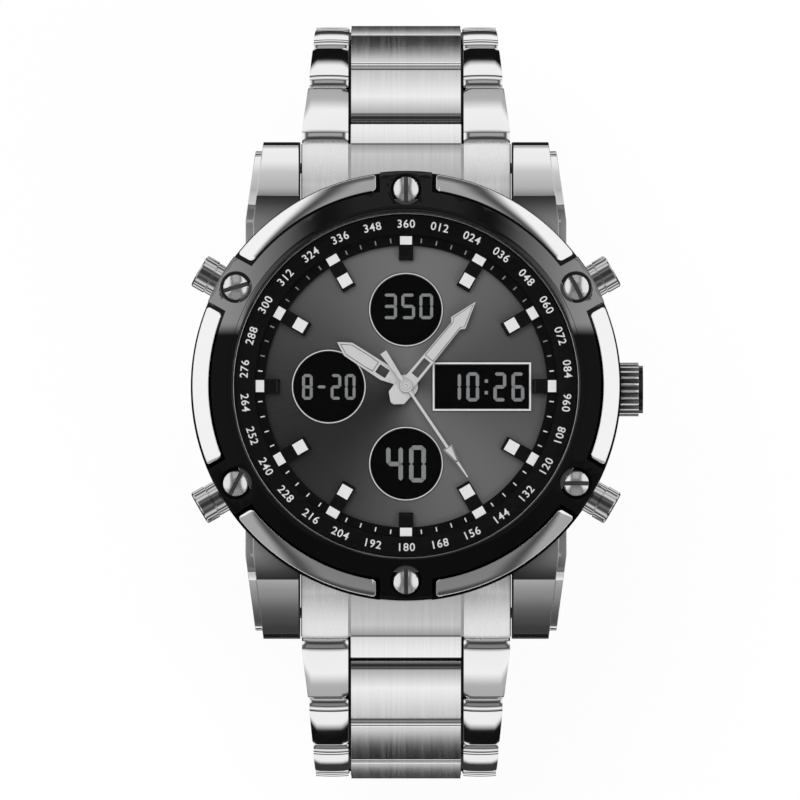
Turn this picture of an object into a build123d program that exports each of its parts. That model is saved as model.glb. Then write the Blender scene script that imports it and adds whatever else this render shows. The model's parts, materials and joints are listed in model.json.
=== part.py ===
from build123d import *
import os
from math import cos, degrees, hypot, radians, sin

os.makedirs("parts", exist_ok=True)

# A wristwatch with hands, four display windows, four pushers, a crown and a three-row link bracelet.
# Origin: centre of the case back's wrist face. +Z out through the crystal, +Y to 12, +X to the crown.

# Clearances
running_gap = 0.05
seat_gap = 0.05
side_gap = 0.15
nose_gap = 0.15
overrun = 1.0

# Case middle
case_radius = 23.4
case_wall = 3.9
case_height = 8.4
case_edge = 0.5
neck_wall = 1.7
neck_height = 2.8
side_axis_height = 4.2

# Case back
back_rise = 1.4
back_flange_margin = 0.8
back_flange = 0.7
back_face_margin = 8.4
back_slope_margin = 4.4
back_spigot = 1.0
back_gasket_wall = 0.6
back_gasket_height = 0.7
back_screw_margin = 1.2
back_screw_head_radius = 0.95
back_screw_head = 0.4
back_screw_slot = 0.3
back_screw_count = 4

# Heights of the head from the wrist face, and the cavity inside it
case_base = back_rise
seat_height = case_base + case_height
neck_top = seat_height + neck_height
side_axis_z = case_base + side_axis_height
cavity_radius = case_radius - case_wall

# Lugs
lug_gap = 24.0
lug_length = 4.8
lug_tip_width = 4.2
lug_root_width = 5.3
lug_root_setback = 9.2
lug_flank_width = 0.9
lug_flank_drop = 1.0
lug_flank_setback = 0.95
lug_slope_length = 6.4
lug_tip_top = 5.6
lug_tip_base = 2.7
lug_tip_edge = 0.4
lug_toe = 1.6
lug_base_drop = 0.4
lug_shoulder_drop = 0.4

# Bezel
bezel_overhang = 1.0
bezel_rim_drop = 1.25
bezel_edge = 0.5
bezel_rise = 0.4
bezel_lip_edge = 0.2
bezel_lip = 0.45
insert_band = 2.3
insert_count = 6
tab_width = 5.9
insert_gap = 0.45
insert_setback = 0.2
insert_depth = 1.9
insert_corner = 0.3
insert_drop = 0.1
bezel_screw_setback = 2.15
bezel_screw_radius = 1.425
bezel_screw_recess = 0.375
bezel_screw_head = 0.65
bezel_screw_slot = 0.5
bezel_screw_slot_depth = 0.35
bezel_screw_angles = [90, 17, 63, 90, 0, 117]

# Crystal
crystal_ledge = 0.25
crystal_thickness = 1.5
crystal_edge = 0.3
crystal_gasket_wall = 0.5
crystal_gasket_height = 1.0

# Dial and chapter ring
dial_thickness = 0.4
dial_drop = 2.0
dial_margin = 0.2
flange_band = 3.5
flange_step = 1.2
flange_rise = 0.7
chapter_margin = 0.1
chapter_rise = 1.4
chapter_slope = 0.3
marker_width = 1.65
marker_long_reach = 3.2
marker_short_reach = 1.7
marker_outer_margin = 0.05
marker_rise = 1.0
marker_edge = 0.35
lume_height = 0.06
lume_outer_length = 0.95
lume_outer_width = 1.35
lume_outer_setback = 0.65
lume_inner_length = 1.35
lume_inner_setback = 2.15
window_distance = 8.75
window_radius = 4.0
window_frame = 0.25
window_frame_rise = 0.2
wide_window_x = 8.6
wide_window_length = 11.3
wide_window_height = 5.65
wide_window_frame = 0.35

# Movement
display_margin = 3.0
display_thickness = 0.9
board_margin = 2.0
board_thickness = 0.8
holder_margin = 0.3
holder_base_gap = 0.2
battery_radius = 5.7
battery_thickness = 2.6
battery_x = -8.0
battery_y = -6.0
motor_radius = 4.2
motor_depth = 3.4
bush_radius = 1.35
bush_rise = 0.25
lever_setback = 6.3
lever_thickness = 0.8
lever_width = 4.0
lever_height = 2.6
lever_travel = 1.2

# Hands
hand_thickness = 0.22
hand_spacing = 0.45
hand_lift = 0.45
hour_pipe_radius = 1.1
minute_pipe_radius = 0.75
second_arbor_radius = 0.36
hour_angle = 302.8
hour_length = 9.3
hour_width = 1.9
hour_hub_radius = 1.35
minute_angle = 39.5
minute_length = 12.4
minute_width = 1.35
minute_head_width = 2.0
minute_head_length = 3.2
minute_tail = 3.2
minute_hub_radius = 1.1
second_angle = 146.0
second_length = 12.5
second_width = 0.3
second_head_width = 1.1
second_head_start = 8.4
second_head_end = 10.5
second_tail = 4.6
second_tail_width = 0.8
second_hub_radius = 0.8
hand_window_share = 0.55
hour_outline_shares = [(0.0, 0.55), (0.16, 0.62), (0.30, 1.0), (0.84, 0.92), (1.0, 0.0)]
hour_window_shares = (0.27, 0.41)
minute_window_shares = (0.20, 0.34)
hand_root_share = 0.62

# Pushers
pusher_angles = [30, 150, 210, 330]
pusher_radius = 1.975
pusher_neck_radius = 1.88
pusher_neck_length = 2.1
pusher_cap_length = 1.6
pusher_travel = 0.8
pusher_depth = 1.15
pusher_pocket_gap = 0.12
pusher_stem_radius = 0.8

# Crown
crown_radius = 3.05
crown_gap = 0.35
crown_length = 2.65
crown_cap_radius = 2.7
crown_cap = 0.5
crown_flutes = 24
crown_flute = 0.42
crown_bore_radius = 1.5
crown_bore_depth = 1.7
crown_tube_wall = 0.6
crown_tube_stand = 0.8
crown_tube_setback = 0.5
stem_radius = 0.65
stem_collar_radius = 1.05
stem_collar = 0.6

# Spring bars
bar_setback = 2.9
bar_z = 3.9
bar_radius = 0.6
bar_tip = 0.9

# Bracelet
link_pitch = 8.0
link_thickness = 2.6
link_far_edge = 0.2
link_inner_edge = 0.5
link_slopes = [36, 56, 76, 98, 121, 142, 160]
end_link_slope = 30
link_width_shares = [0.985, 0.915, 0.878, 0.858, 0.845, 0.832, 0.822, 0.8125]
centre_width = 12.6
centre_far_reach = 1.2
tongue_flat_share = 0.4
centre_near_gap = 0.3
centre_round = 1.0
first_pivot_margin = 0.7
first_pivot_z = 3.0
link_pin_radius = 0.6
end_link_margin = 0.1
end_link_base_z = 1.7
end_link_slope_length = 6.2
end_link_length = 13.2
end_link_root_drop = 0.9

# Clasp, all lengths along or across its arc
clasp_plate = 1.2
clasp_wall = 0.7
clasp_wall_depth = 2.2
blade_thickness = 1.1
blade_gap = 0.15
bridge_thickness = 0.65
bridge_length = 5.0
strip_half_width = 4.9
rail_width = 2.7
leg_step = 0.7
ear_step = 1.0
clasp_pin_radius = 0.45
fold_knuckle_radius = 0.8
fold_knuckle_rise = 0.5
fold_setback = 4.8
blade_joint_setback = 3.4
web_start = 1.1
web_length = 1.2
ear_radius = 1.0
cover_ear_length = 2.4
button_height = 1.6
button_length = 6.0
button_stand = 0.8
button_head = 0.5
button_setback = 14.0
clasp_bar_radius = 0.6
clasp_bar_tip_radius = 0.45
clasp_bar_tip = 1.1


def outline(plane, points):
    # A closed face through the points of the plane.
    with BuildSketch(plane) as face:
        with BuildLine():
            Polyline(*points, close=True)
        make_face()
    return face.sketch


def disc(plane, radius):
    with BuildSketch(plane) as face:
        Circle(radius)
    return face.sketch


def ring(plane, outer, inner):
    with BuildSketch(plane) as face:
        Circle(outer)
        Circle(inner, mode=Mode.SUBTRACT)
    return face.sketch


def level(height):
    return Plane.XY.offset(height)


def outward(clock_from_x, height, distance=0):
    # A plane square to a line that runs out from the watch's axis, at a height and a distance.
    turn = radians(clock_from_x)
    heading = (cos(turn), sin(turn), 0)
    return Plane(origin=(0, 0, height), z_dir=heading).offset(distance)


def along_hand(clock, height):
    # The hand's own plane: x runs out along the hand, clock degrees clockwise from 12.
    turn = radians(clock)
    return Plane(origin=(0, 0, height), x_dir=(sin(turn), cos(turn), 0), z_dir=(0, 0, 1))


# Case middle

back_flange_radius = case_radius - back_flange_margin
lug_inner = lug_gap / 2
lug_reach = case_radius + lug_length
lug_root_y = lug_reach - lug_root_setback
lug_shoulder_y = lug_reach - lug_slope_length
bar_y = lug_reach - bar_setback
flank_tip = lug_reach - lug_flank_setback
flank_root = lug_inner + lug_root_width + lug_flank_width
lug_low_z = case_base - lug_base_drop
lug_top_z = seat_height - lug_shoulder_drop
lug_fall = (lug_top_z - lug_tip_top) / lug_slope_length

with BuildPart() as lug:
    raised_side = [
        (0, lug_top_z),
        (lug_shoulder_y, lug_top_z),
        (lug_reach - lug_tip_edge, lug_tip_top + lug_tip_edge * lug_fall),
        (lug_reach, lug_tip_top - lug_tip_edge),
        (lug_reach, lug_tip_base),
        (lug_reach - lug_toe, lug_low_z),
        (lug_root_y, lug_low_z),
        (0, case_base),
    ]
    raised_plan = [
        (lug_inner, 0),
        (lug_inner, lug_reach + overrun),
        (lug_inner + lug_tip_width, lug_reach + overrun),
        (lug_inner + lug_tip_width, lug_reach),
        (lug_inner + lug_root_width, lug_root_y),
        (lug_inner + lug_root_width, 0),
    ]
    extrude(outline(Plane.YZ, raised_side), amount=flank_root + overrun)
    extrude(outline(level(0), raised_plan), amount=neck_top, mode=Mode.INTERSECT)

with BuildPart() as lug_flank:
    flank_side = [
        (0, lug_top_z - lug_flank_drop),
        (lug_shoulder_y - lug_flank_setback, lug_top_z - lug_flank_drop),
        (flank_tip - lug_tip_edge, lug_tip_top - lug_flank_drop + lug_tip_edge * lug_fall),
        (flank_tip, lug_tip_top - lug_flank_drop - lug_tip_edge),
        (flank_tip, lug_tip_base),
        (flank_tip - lug_toe, lug_low_z),
        (lug_root_y, lug_low_z),
        (0, case_base),
    ]
    flank_plan = [
        (lug_inner, 0),
        (lug_inner, flank_tip + overrun),
        (lug_inner + lug_tip_width + lug_flank_width, flank_tip + overrun),
        (lug_inner + lug_tip_width + lug_flank_width, flank_tip),
        (flank_root, lug_root_y),
        (flank_root, 0),
    ]
    extrude(outline(Plane.YZ, flank_side), amount=flank_root + overrun)
    extrude(outline(level(0), flank_plan), amount=neck_top, mode=Mode.INTERSECT)

body_profile = [
    (0, case_base),
    (case_radius - case_edge, case_base),
    (case_radius, case_base + case_edge),
    (case_radius, seat_height),
    (cavity_radius + neck_wall, seat_height),
    (cavity_radius + neck_wall, neck_top),
    (0, neck_top),
]
crystal_seat = neck_top
crystal_radius = cavity_radius + crystal_ledge
gasket_outer = crystal_radius + crystal_gasket_wall
pusher_pocket = case_radius - pusher_depth
holder_radius = cavity_radius - holder_margin
tube_bore = stem_radius + running_gap
crown_tube_radius = tube_bore + crown_tube_wall

with BuildPart() as case_middle:
    add(lug.part)
    add(lug_flank.part)
    mirror(about=Plane.YZ)
    mirror(about=Plane.XZ)
    revolve(outline(Plane.XZ, body_profile), axis=Axis.Z)
    # The cavity and the seat of the case back's flange.
    extrude(disc(level(case_base), cavity_radius), amount=case_height + neck_height, mode=Mode.SUBTRACT)
    extrude(disc(level(0), back_flange_radius + seat_gap), amount=case_base, mode=Mode.SUBTRACT)
    # The pushers' pockets and bores, then the crown tube's hole.
    for clock in pusher_angles:
        pocket = disc(outward(clock, side_axis_z, pusher_pocket), pusher_radius + pusher_pocket_gap)
        extrude(pocket, amount=pusher_depth + overrun, mode=Mode.SUBTRACT)
        bore = disc(outward(clock, side_axis_z, cavity_radius - overrun), pusher_stem_radius + running_gap)
        extrude(bore, amount=case_wall + overrun, mode=Mode.SUBTRACT)
    crown_hole = disc(outward(0, side_axis_z, cavity_radius - overrun), crown_tube_radius)
    extrude(crown_hole, amount=case_wall + 2 * overrun, mode=Mode.SUBTRACT)
    # The spring bars' blind holes.
    for end in (1, -1):
        with Locations(Location((0, end * bar_y, bar_z), (0, 90, 0))):
            Cylinder(bar_radius + seat_gap, lug_gap + 2 * bar_tip + 2 * seat_gap, mode=Mode.SUBTRACT)
case_middle.part.label = "case_middle"
export_step(case_middle.part, "parts/case_middle.step")


# Case back with its gasket and screws

back_screw_radius = back_flange_radius - back_screw_margin
spigot_radius = cavity_radius - back_gasket_wall
back_profile = [
    (0, 0),
    (case_radius - back_face_margin, 0),
    (case_radius - back_slope_margin, back_rise - back_flange),
    (back_flange_radius, back_rise - back_flange),
    (back_flange_radius, back_rise),
    (spigot_radius, back_rise),
    (spigot_radius, back_rise + back_spigot),
    (0, back_rise + back_spigot),
]
with BuildPart() as case_back:
    revolve(outline(Plane.XZ, back_profile), axis=Axis.Z)
case_back.part.label = "case_back"
export_step(case_back.part, "parts/case_back.step")

with BuildPart() as case_back_gasket:
    # It seals the case back's spigot against the cavity's wall.
    extrude(ring(level(case_base), cavity_radius, spigot_radius), amount=back_gasket_height)
case_back_gasket.part.label = "case_back_gasket"
export_step(case_back_gasket.part, "parts/case_back_gasket.step")

with BuildPart() as case_back_screws:
    head_base = back_rise - back_flange - back_screw_head
    with BuildSketch(level(head_base)):
        with PolarLocations(back_screw_radius, back_screw_count, start_angle=45):
            Circle(back_screw_head_radius)
    extrude(amount=back_screw_head)
    with BuildSketch(level(head_base)):
        with PolarLocations(back_screw_radius, back_screw_count, start_angle=45):
            Rectangle(2 * back_screw_head_radius, back_screw_slot)
    extrude(amount=back_screw_head / 2, mode=Mode.SUBTRACT)
case_back_screws.part.label = "case_back_screws"
export_step(case_back_screws.part, "parts/case_back_screws.step")


# Bezel with its inserts and screws

bezel_radius = case_radius + bezel_overhang
bezel_inner = gasket_outer - bezel_lip
lip_base = crystal_seat + crystal_gasket_height + seat_gap
bezel_top = lip_base + bezel_rise
bezel_screw_place = bezel_radius - bezel_screw_setback
bezel_rim = bezel_top - bezel_rim_drop
bezel_profile = [
    (cavity_radius + neck_wall + seat_gap, seat_height),
    (bezel_radius, seat_height),
    (bezel_radius, bezel_rim - bezel_edge / 2),
    (bezel_radius - bezel_edge, bezel_rim + bezel_edge / 4),
    (bezel_inner + bezel_edge, bezel_top),
    (bezel_inner, bezel_top - bezel_lip_edge),
    (bezel_inner, lip_base),
    (gasket_outer, lip_base),
    (gasket_outer, neck_top + seat_gap),
    (cavity_radius + neck_wall + seat_gap, neck_top + seat_gap),
]
bezel_slope = (bezel_rim_drop - bezel_edge / 4) / (bezel_radius - bezel_inner - 2 * bezel_edge)
notch_inner = bezel_radius - insert_band
notch_base = bezel_rim - insert_depth
screw_floor = neck_top + seat_gap

with BuildPart() as bezel:
    revolve(outline(Plane.XZ, bezel_profile), axis=Axis.Z)
    with BuildSketch(level(notch_base)):
        Circle(bezel_radius + overrun)
        Circle(notch_inner, mode=Mode.SUBTRACT)
        with PolarLocations(notch_inner + insert_band / 2, insert_count, start_angle=90):
            Rectangle(2 * insert_band, tab_width, mode=Mode.SUBTRACT)
    extrude(amount=bezel_top - notch_base + overrun, mode=Mode.SUBTRACT)
    with BuildSketch(level(screw_floor)):
        with PolarLocations(bezel_screw_place, insert_count, start_angle=90):
            Circle(bezel_screw_radius + bezel_screw_recess)
    extrude(amount=bezel_top - screw_floor + overrun, mode=Mode.SUBTRACT)
bezel.part.label = "bezel"
export_step(bezel.part, "parts/bezel.step")

insert_inner = notch_inner + side_gap
insert_outer = bezel_radius - insert_setback
insert_outer_top = bezel_rim - insert_drop
insert_profile = [
    (insert_inner, notch_base),
    (insert_outer, notch_base),
    (insert_outer, insert_outer_top),
    (insert_inner, insert_outer_top + bezel_slope * (insert_outer - insert_inner)),
]
with BuildPart() as bezel_inserts:
    # A ring with the bezel's own slope, parted by the six tabs.
    revolve(outline(Plane.XZ, insert_profile), axis=Axis.Z)
    with BuildSketch(level(notch_base)) as insert_plan:
        Circle(insert_outer)
        Circle(insert_inner, mode=Mode.SUBTRACT)
        with PolarLocations(notch_inner + insert_band / 2, insert_count, start_angle=90):
            Rectangle(2 * insert_band, tab_width + 2 * insert_gap, mode=Mode.SUBTRACT)
        chamfer(insert_plan.vertices(), length=insert_corner)
    extrude(amount=insert_depth + bezel_rim_drop, mode=Mode.INTERSECT)
bezel_inserts.part.label = "bezel_inserts"
export_step(bezel_inserts.part, "parts/bezel_inserts.step")

with BuildPart() as bezel_screws:
    with BuildSketch(level(screw_floor)):
        with PolarLocations(bezel_screw_place, insert_count, start_angle=90):
            Circle(bezel_screw_radius)
    extrude(amount=bezel_screw_head)
    for number, turn in enumerate(bezel_screw_angles):
        place = radians(90 + 360 * number / insert_count)
        spot = (bezel_screw_place * cos(place), bezel_screw_place * sin(place))
        slot_floor = screw_floor + bezel_screw_head - bezel_screw_slot_depth
        slot_heading = (cos(radians(turn)), sin(radians(turn)), 0)
        with BuildSketch(Plane(origin=(*spot, slot_floor), x_dir=slot_heading)):
            Rectangle(2 * bezel_screw_radius + overrun, bezel_screw_slot)
        extrude(amount=bezel_screw_slot_depth + overrun, mode=Mode.SUBTRACT)
bezel_screws.part.label = "bezel_screws"
export_step(bezel_screws.part, "parts/bezel_screws.step")


# Crystal and its gasket

with BuildPart() as crystal:
    crystal_profile = [
        (0, crystal_seat),
        (crystal_radius, crystal_seat),
        (crystal_radius, crystal_seat + crystal_thickness - crystal_edge),
        (crystal_radius - crystal_edge, crystal_seat + crystal_thickness),
        (0, crystal_seat + crystal_thickness),
    ]
    revolve(outline(Plane.XZ, crystal_profile), axis=Axis.Z)
crystal.part.label = "crystal"
export_step(crystal.part, "parts/crystal.step")

with BuildPart() as crystal_gasket:
    extrude(ring(level(crystal_seat), gasket_outer, crystal_radius), amount=crystal_gasket_height)
crystal_gasket.part.label = "crystal_gasket"
export_step(crystal_gasket.part, "parts/crystal_gasket.step")


# Dial, chapter ring, markers and windows

dial_top = crystal_seat - dial_drop
dial_base = dial_top - dial_thickness
dial_radius = cavity_radius - dial_margin
flange_radius = cavity_radius - flange_band
flange_step_radius = flange_radius + flange_step
chapter_radius = cavity_radius - chapter_margin
marker_outer_radius = flange_step_radius - marker_outer_margin
wide_hole_length = wide_window_length - 2 * wide_window_frame
wide_hole_height = wide_window_height - 2 * wide_window_frame
round_windows = [(0, window_distance), (-window_distance, 0), (0, -window_distance)]

with BuildPart() as dial:
    with BuildSketch(level(dial_base)):
        Circle(dial_radius)
        with Locations(*round_windows):
            Circle(window_radius, mode=Mode.SUBTRACT)
        with Locations((wide_window_x, 0)):
            Rectangle(wide_hole_length, wide_hole_height, mode=Mode.SUBTRACT)
        Circle(bush_radius + seat_gap, mode=Mode.SUBTRACT)
    extrude(amount=dial_thickness)
dial.part.label = "dial"
export_step(dial.part, "parts/dial.step")

with BuildPart() as window_frames:
    with BuildSketch(level(dial_top)):
        with Locations(*round_windows):
            Circle(window_radius + window_frame)
            Circle(window_radius, mode=Mode.SUBTRACT)
        with Locations((wide_window_x, 0)):
            Rectangle(wide_window_length, wide_window_height)
            Rectangle(wide_hole_length, wide_hole_height, mode=Mode.SUBTRACT)
    extrude(amount=window_frame_rise)
window_frames.part.label = "window_frames"
export_step(window_frames.part, "parts/window_frames.step")

chapter_profile = [
    (flange_radius, dial_top),
    (chapter_radius, dial_top),
    (chapter_radius, dial_top + chapter_rise + chapter_slope),
    (flange_step_radius, dial_top + chapter_rise),
    (flange_step_radius, dial_top + flange_rise),
    (flange_radius, dial_top + flange_rise),
]
with BuildPart() as chapter_ring:
    revolve(outline(Plane.XZ, chapter_profile), axis=Axis.Z)
chapter_ring.part.label = "chapter_ring"
export_step(chapter_ring.part, "parts/chapter_ring.step")

with BuildPart() as hour_markers:
    for hour in range(12):
        start = flange_radius - (marker_short_reach if hour % 3 == 0 else marker_long_reach)
        marker_side = [
            (start, dial_top),
            (flange_radius - seat_gap, dial_top),
            (flange_radius - seat_gap, dial_top + flange_rise),
            (marker_outer_radius, dial_top + flange_rise),
            (marker_outer_radius, dial_top + marker_rise),
            (start + marker_edge, dial_top + marker_rise),
            (start, dial_top + marker_rise - marker_edge),
        ]
        turn = radians(30 * hour)
        marker_plane = Plane(
            origin=(0, 0, 0), x_dir=(cos(turn), sin(turn), 0), z_dir=(sin(turn), -cos(turn), 0)
        )
        extrude(outline(marker_plane, marker_side), amount=marker_width / 2, both=True)
hour_markers.part.label = "hour_markers"
export_step(hour_markers.part, "parts/hour_markers.step")

with BuildPart() as marker_lume:
    with BuildSketch(level(dial_top + marker_rise)):
        with PolarLocations(flange_step_radius - lume_outer_setback, 12):
            Rectangle(lume_outer_length, lume_outer_width)
        for first_hour in (30, 60):
            with PolarLocations(flange_radius - lume_inner_setback, 4, start_angle=first_hour):
                Rectangle(lume_inner_length, lume_outer_width)
    extrude(amount=lume_height)
marker_lume.part.label = "marker_lume"
export_step(marker_lume.part, "parts/marker_lume.step")


# Movement

display_radius = cavity_radius - display_margin
board_radius = cavity_radius - board_margin
lever_x = cavity_radius - lever_setback
stem_inner_x = lever_x - lever_thickness / 2 - stem_collar
display_base = dial_base - display_thickness
board_base = display_base - board_thickness
holder_base = back_rise + back_spigot + holder_base_gap
pocket_half = lever_width / 2 + side_gap
lever_room_low = stem_inner_x - side_gap
lever_room_high = lever_x + lever_thickness / 2 + lever_travel + side_gap

with BuildPart() as display_panel:
    extrude(ring(level(display_base), display_radius, bush_radius + seat_gap), amount=display_thickness)
display_panel.part.label = "display_panel"
export_step(display_panel.part, "parts/display_panel.step")

with BuildPart() as circuit_board:
    extrude(ring(level(board_base), board_radius, bush_radius + seat_gap), amount=board_thickness)
circuit_board.part.label = "circuit_board"
export_step(circuit_board.part, "parts/circuit_board.step")

with BuildPart() as movement_holder:
    extrude(disc(level(holder_base), holder_radius), amount=board_base - holder_base)
    with Locations((battery_x, battery_y, holder_base)):
        Cylinder(
            battery_radius + seat_gap,
            battery_thickness,
            align=(Align.CENTER, Align.CENTER, Align.MIN),
            mode=Mode.SUBTRACT,
        )
    motor_pocket = disc(level(board_base - motor_depth), motor_radius + seat_gap)
    extrude(motor_pocket, amount=motor_depth, mode=Mode.SUBTRACT)
    lever_room = [
        (lever_room_low, -pocket_half),
        (lever_room_high, -pocket_half),
        (lever_room_high, pocket_half),
        (lever_room_low, pocket_half),
    ]
    room_base = side_axis_z - lever_height / 2 - side_gap
    extrude(outline(level(room_base), lever_room), amount=board_base - room_base, mode=Mode.SUBTRACT)
    stem_hole = disc(outward(0, side_axis_z, stem_inner_x - side_gap), stem_collar_radius + side_gap)
    extrude(stem_hole, amount=holder_radius, mode=Mode.SUBTRACT)
movement_holder.part.label = "movement_holder"
export_step(movement_holder.part, "parts/movement_holder.step")

with BuildPart() as battery:
    with Locations((battery_x, battery_y, holder_base)):
        Cylinder(battery_radius, battery_thickness, align=(Align.CENTER, Align.CENTER, Align.MIN))
battery.part.label = "battery"
export_step(battery.part, "parts/battery.step")

bush_top = dial_top + bush_rise
pipe_foot = board_base - motor_depth / 2
with BuildPart() as hand_movement:
    extrude(disc(level(board_base - motor_depth), motor_radius), amount=motor_depth)
    extrude(disc(level(board_base), bush_radius), amount=bush_top - board_base)
    bush_bore = disc(level(pipe_foot), hour_pipe_radius + running_gap)
    extrude(bush_bore, amount=bush_top - pipe_foot, mode=Mode.SUBTRACT)
hand_movement.part.label = "hand_movement"
export_step(hand_movement.part, "parts/hand_movement.step")


# Hands, each with the pipe that turns it

hour_z = dial_top + hand_lift
minute_z = hour_z + hand_spacing
second_z = minute_z + hand_spacing

with BuildPart() as hour_hand:
    half = hour_width / 2
    blade = [(share * hour_length, width * half) for share, width in hour_outline_shares]
    blade += [(share * hour_length, -width * half) for share, width in reversed(hour_outline_shares[:-1])]
    plane = along_hand(hour_angle, hour_z)
    extrude(outline(plane, blade), amount=hand_thickness)
    extrude(disc(level(hour_z), hour_hub_radius), amount=hand_thickness)
    window_middle = hour_length * (hour_window_shares[0] + hour_window_shares[1]) / 2
    window_length = hour_length * (hour_window_shares[1] - hour_window_shares[0])
    with BuildSketch(plane):
        with Locations((window_middle, 0)):
            Rectangle(window_length, hour_width * hand_window_share)
    extrude(amount=hand_thickness, mode=Mode.SUBTRACT)
    extrude(disc(level(pipe_foot + seat_gap), hour_pipe_radius), amount=hour_z - pipe_foot - seat_gap)
    minute_bore = disc(level(pipe_foot + seat_gap), minute_pipe_radius + running_gap)
    extrude(minute_bore, amount=hour_z + hand_thickness - pipe_foot, mode=Mode.SUBTRACT)
hour_hand.part.label = "hour_hand"
export_step(hour_hand.part, "parts/hour_hand.step")

with BuildPart() as minute_hand:
    half = minute_width / 2
    head_start = minute_length - minute_head_length
    shoulder = head_start - minute_head_width / 4
    right_edge = [
        (-minute_tail, 0),
        (-minute_tail + half, half),
        (0, half * hand_root_share),
        (minute_window_shares[0] * minute_length, half),
        (shoulder, half),
        (head_start, minute_head_width / 2),
        (minute_length, 0),
    ]
    left_edge = [(x, -y) for x, y in reversed(right_edge[1:-1])]
    plane = along_hand(minute_angle, minute_z)
    extrude(outline(plane, right_edge + left_edge), amount=hand_thickness)
    extrude(disc(level(minute_z), minute_hub_radius), amount=hand_thickness)
    window_middle = minute_length * (minute_window_shares[0] + minute_window_shares[1]) / 2
    window_length = minute_length * (minute_window_shares[1] - minute_window_shares[0])
    with BuildSketch(plane):
        with Locations((window_middle, 0)):
            Rectangle(window_length, minute_width * hand_window_share)
    extrude(amount=hand_thickness, mode=Mode.SUBTRACT)
    pipe_start = pipe_foot + 2 * seat_gap
    extrude(disc(level(pipe_start), minute_pipe_radius), amount=minute_z - pipe_start)
    second_bore = disc(level(pipe_start), second_arbor_radius + running_gap)
    extrude(second_bore, amount=minute_z + hand_thickness - pipe_start, mode=Mode.SUBTRACT)
minute_hand.part.label = "minute_hand"
export_step(minute_hand.part, "parts/minute_hand.step")

with BuildPart() as second_hand:
    plane = along_hand(second_angle, second_z)
    needle = [
        (-second_tail, second_tail_width / 2),
        (0, second_width / 2),
        (second_head_start, second_width / 2),
        (second_head_start, second_head_width / 2),
        (second_head_end, second_width / 2),
        (second_length, second_width / 4),
    ]
    needle += [(x, -y) for x, y in reversed(needle)]
    extrude(outline(plane, needle), amount=hand_thickness)
    extrude(disc(level(second_z), second_hub_radius), amount=hand_thickness)
    arbor_start = pipe_foot + 3 * seat_gap
    extrude(disc(level(arbor_start), second_arbor_radius), amount=second_z - arbor_start)
second_hand.part.label = "second_hand"
export_step(second_hand.part, "parts/second_hand.step")


# Pushers

# Pressed home, the stem stops short of the movement holder.
stem_start = holder_radius + pusher_travel + side_gap
for number, clock in enumerate(pusher_angles):
    with BuildPart() as pusher:
        cap_start = case_radius - seat_gap
        neck_end = case_radius + pusher_neck_length
        neck = disc(outward(clock, side_axis_z, cap_start), pusher_neck_radius)
        extrude(neck, amount=neck_end - cap_start)
        extrude(disc(outward(clock, side_axis_z, neck_end), pusher_radius), amount=pusher_cap_length)
        stem = disc(outward(clock, side_axis_z, stem_start), pusher_stem_radius)
        extrude(stem, amount=cap_start - stem_start)
    pusher.part.label = f"pusher_{number + 1}"
    export_step(pusher.part, f"parts/pusher_{number + 1}.step")


# Crown, its stem, tube and setting lever

with BuildPart() as crown_tube:
    tube_end = case_radius + crown_tube_stand
    tube_start = cavity_radius + crown_tube_setback
    extrude(
        ring(outward(0, side_axis_z, tube_start), crown_tube_radius, tube_bore),
        amount=tube_end - tube_start,
    )
crown_tube.part.label = "crown_tube"
export_step(crown_tube.part, "parts/crown_tube.step")

with BuildPart() as crown:
    crown_start = case_radius + crown_gap
    crown_plane = outward(0, side_axis_z, crown_start)
    with BuildSketch(crown_plane):
        Circle(crown_radius)
        with PolarLocations(crown_radius, crown_flutes):
            Rectangle(crown_flute, crown_flute, rotation=45, mode=Mode.SUBTRACT)
    extrude(amount=crown_length)
    extrude(disc(crown_plane.offset(crown_length), crown_cap_radius), amount=crown_cap)
    bore = disc(crown_plane, crown_bore_radius)
    extrude(bore, amount=crown_bore_depth, mode=Mode.SUBTRACT)
crown.part.label = "crown"
export_step(crown.part, "parts/crown.step")

with BuildPart() as crown_stem:
    stem_end = crown_start + crown_bore_depth
    extrude(disc(outward(0, side_axis_z, stem_inner_x), stem_radius), amount=stem_end - stem_inner_x)
    # A collar on each side of the lever carries it along.
    for collar_x in (stem_inner_x, lever_x + lever_thickness / 2):
        extrude(disc(outward(0, side_axis_z, collar_x), stem_collar_radius), amount=stem_collar)
crown_stem.part.label = "crown_stem"
export_step(crown_stem.part, "parts/crown_stem.step")

with BuildPart() as setting_lever:
    lever_plane = outward(0, side_axis_z, lever_x - lever_thickness / 2 + seat_gap)
    with BuildSketch(lever_plane):
        Rectangle(lever_height, lever_width)
        Circle(stem_radius + running_gap, mode=Mode.SUBTRACT)
    extrude(amount=lever_thickness - 2 * seat_gap)
setting_lever.part.label = "setting_lever"
export_step(setting_lever.part, "parts/setting_lever.step")


# Spring bars between the lugs

with BuildPart() as spring_bars:
    for end in (1, -1):
        with Locations(Location((0, end * bar_y, bar_z), (0, 90, 0))):
            Cylinder(bar_radius, lug_gap + 2 * bar_tip)
spring_bars.part.label = "spring_bars"
export_step(spring_bars.part, "parts/spring_bars.step")


# Bracelet

nose = link_thickness / 2
outer_far = link_pitch - nose - nose_gap
row_half = centre_width / 2 + side_gap
centre_near = nose + nose_gap + centre_near_gap / 2
tongue_flat = centre_far_reach * tongue_flat_share
tongue_sweep = hypot(centre_far_reach, nose) + nose_gap
centre_far = link_pitch + centre_far_reach

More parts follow.
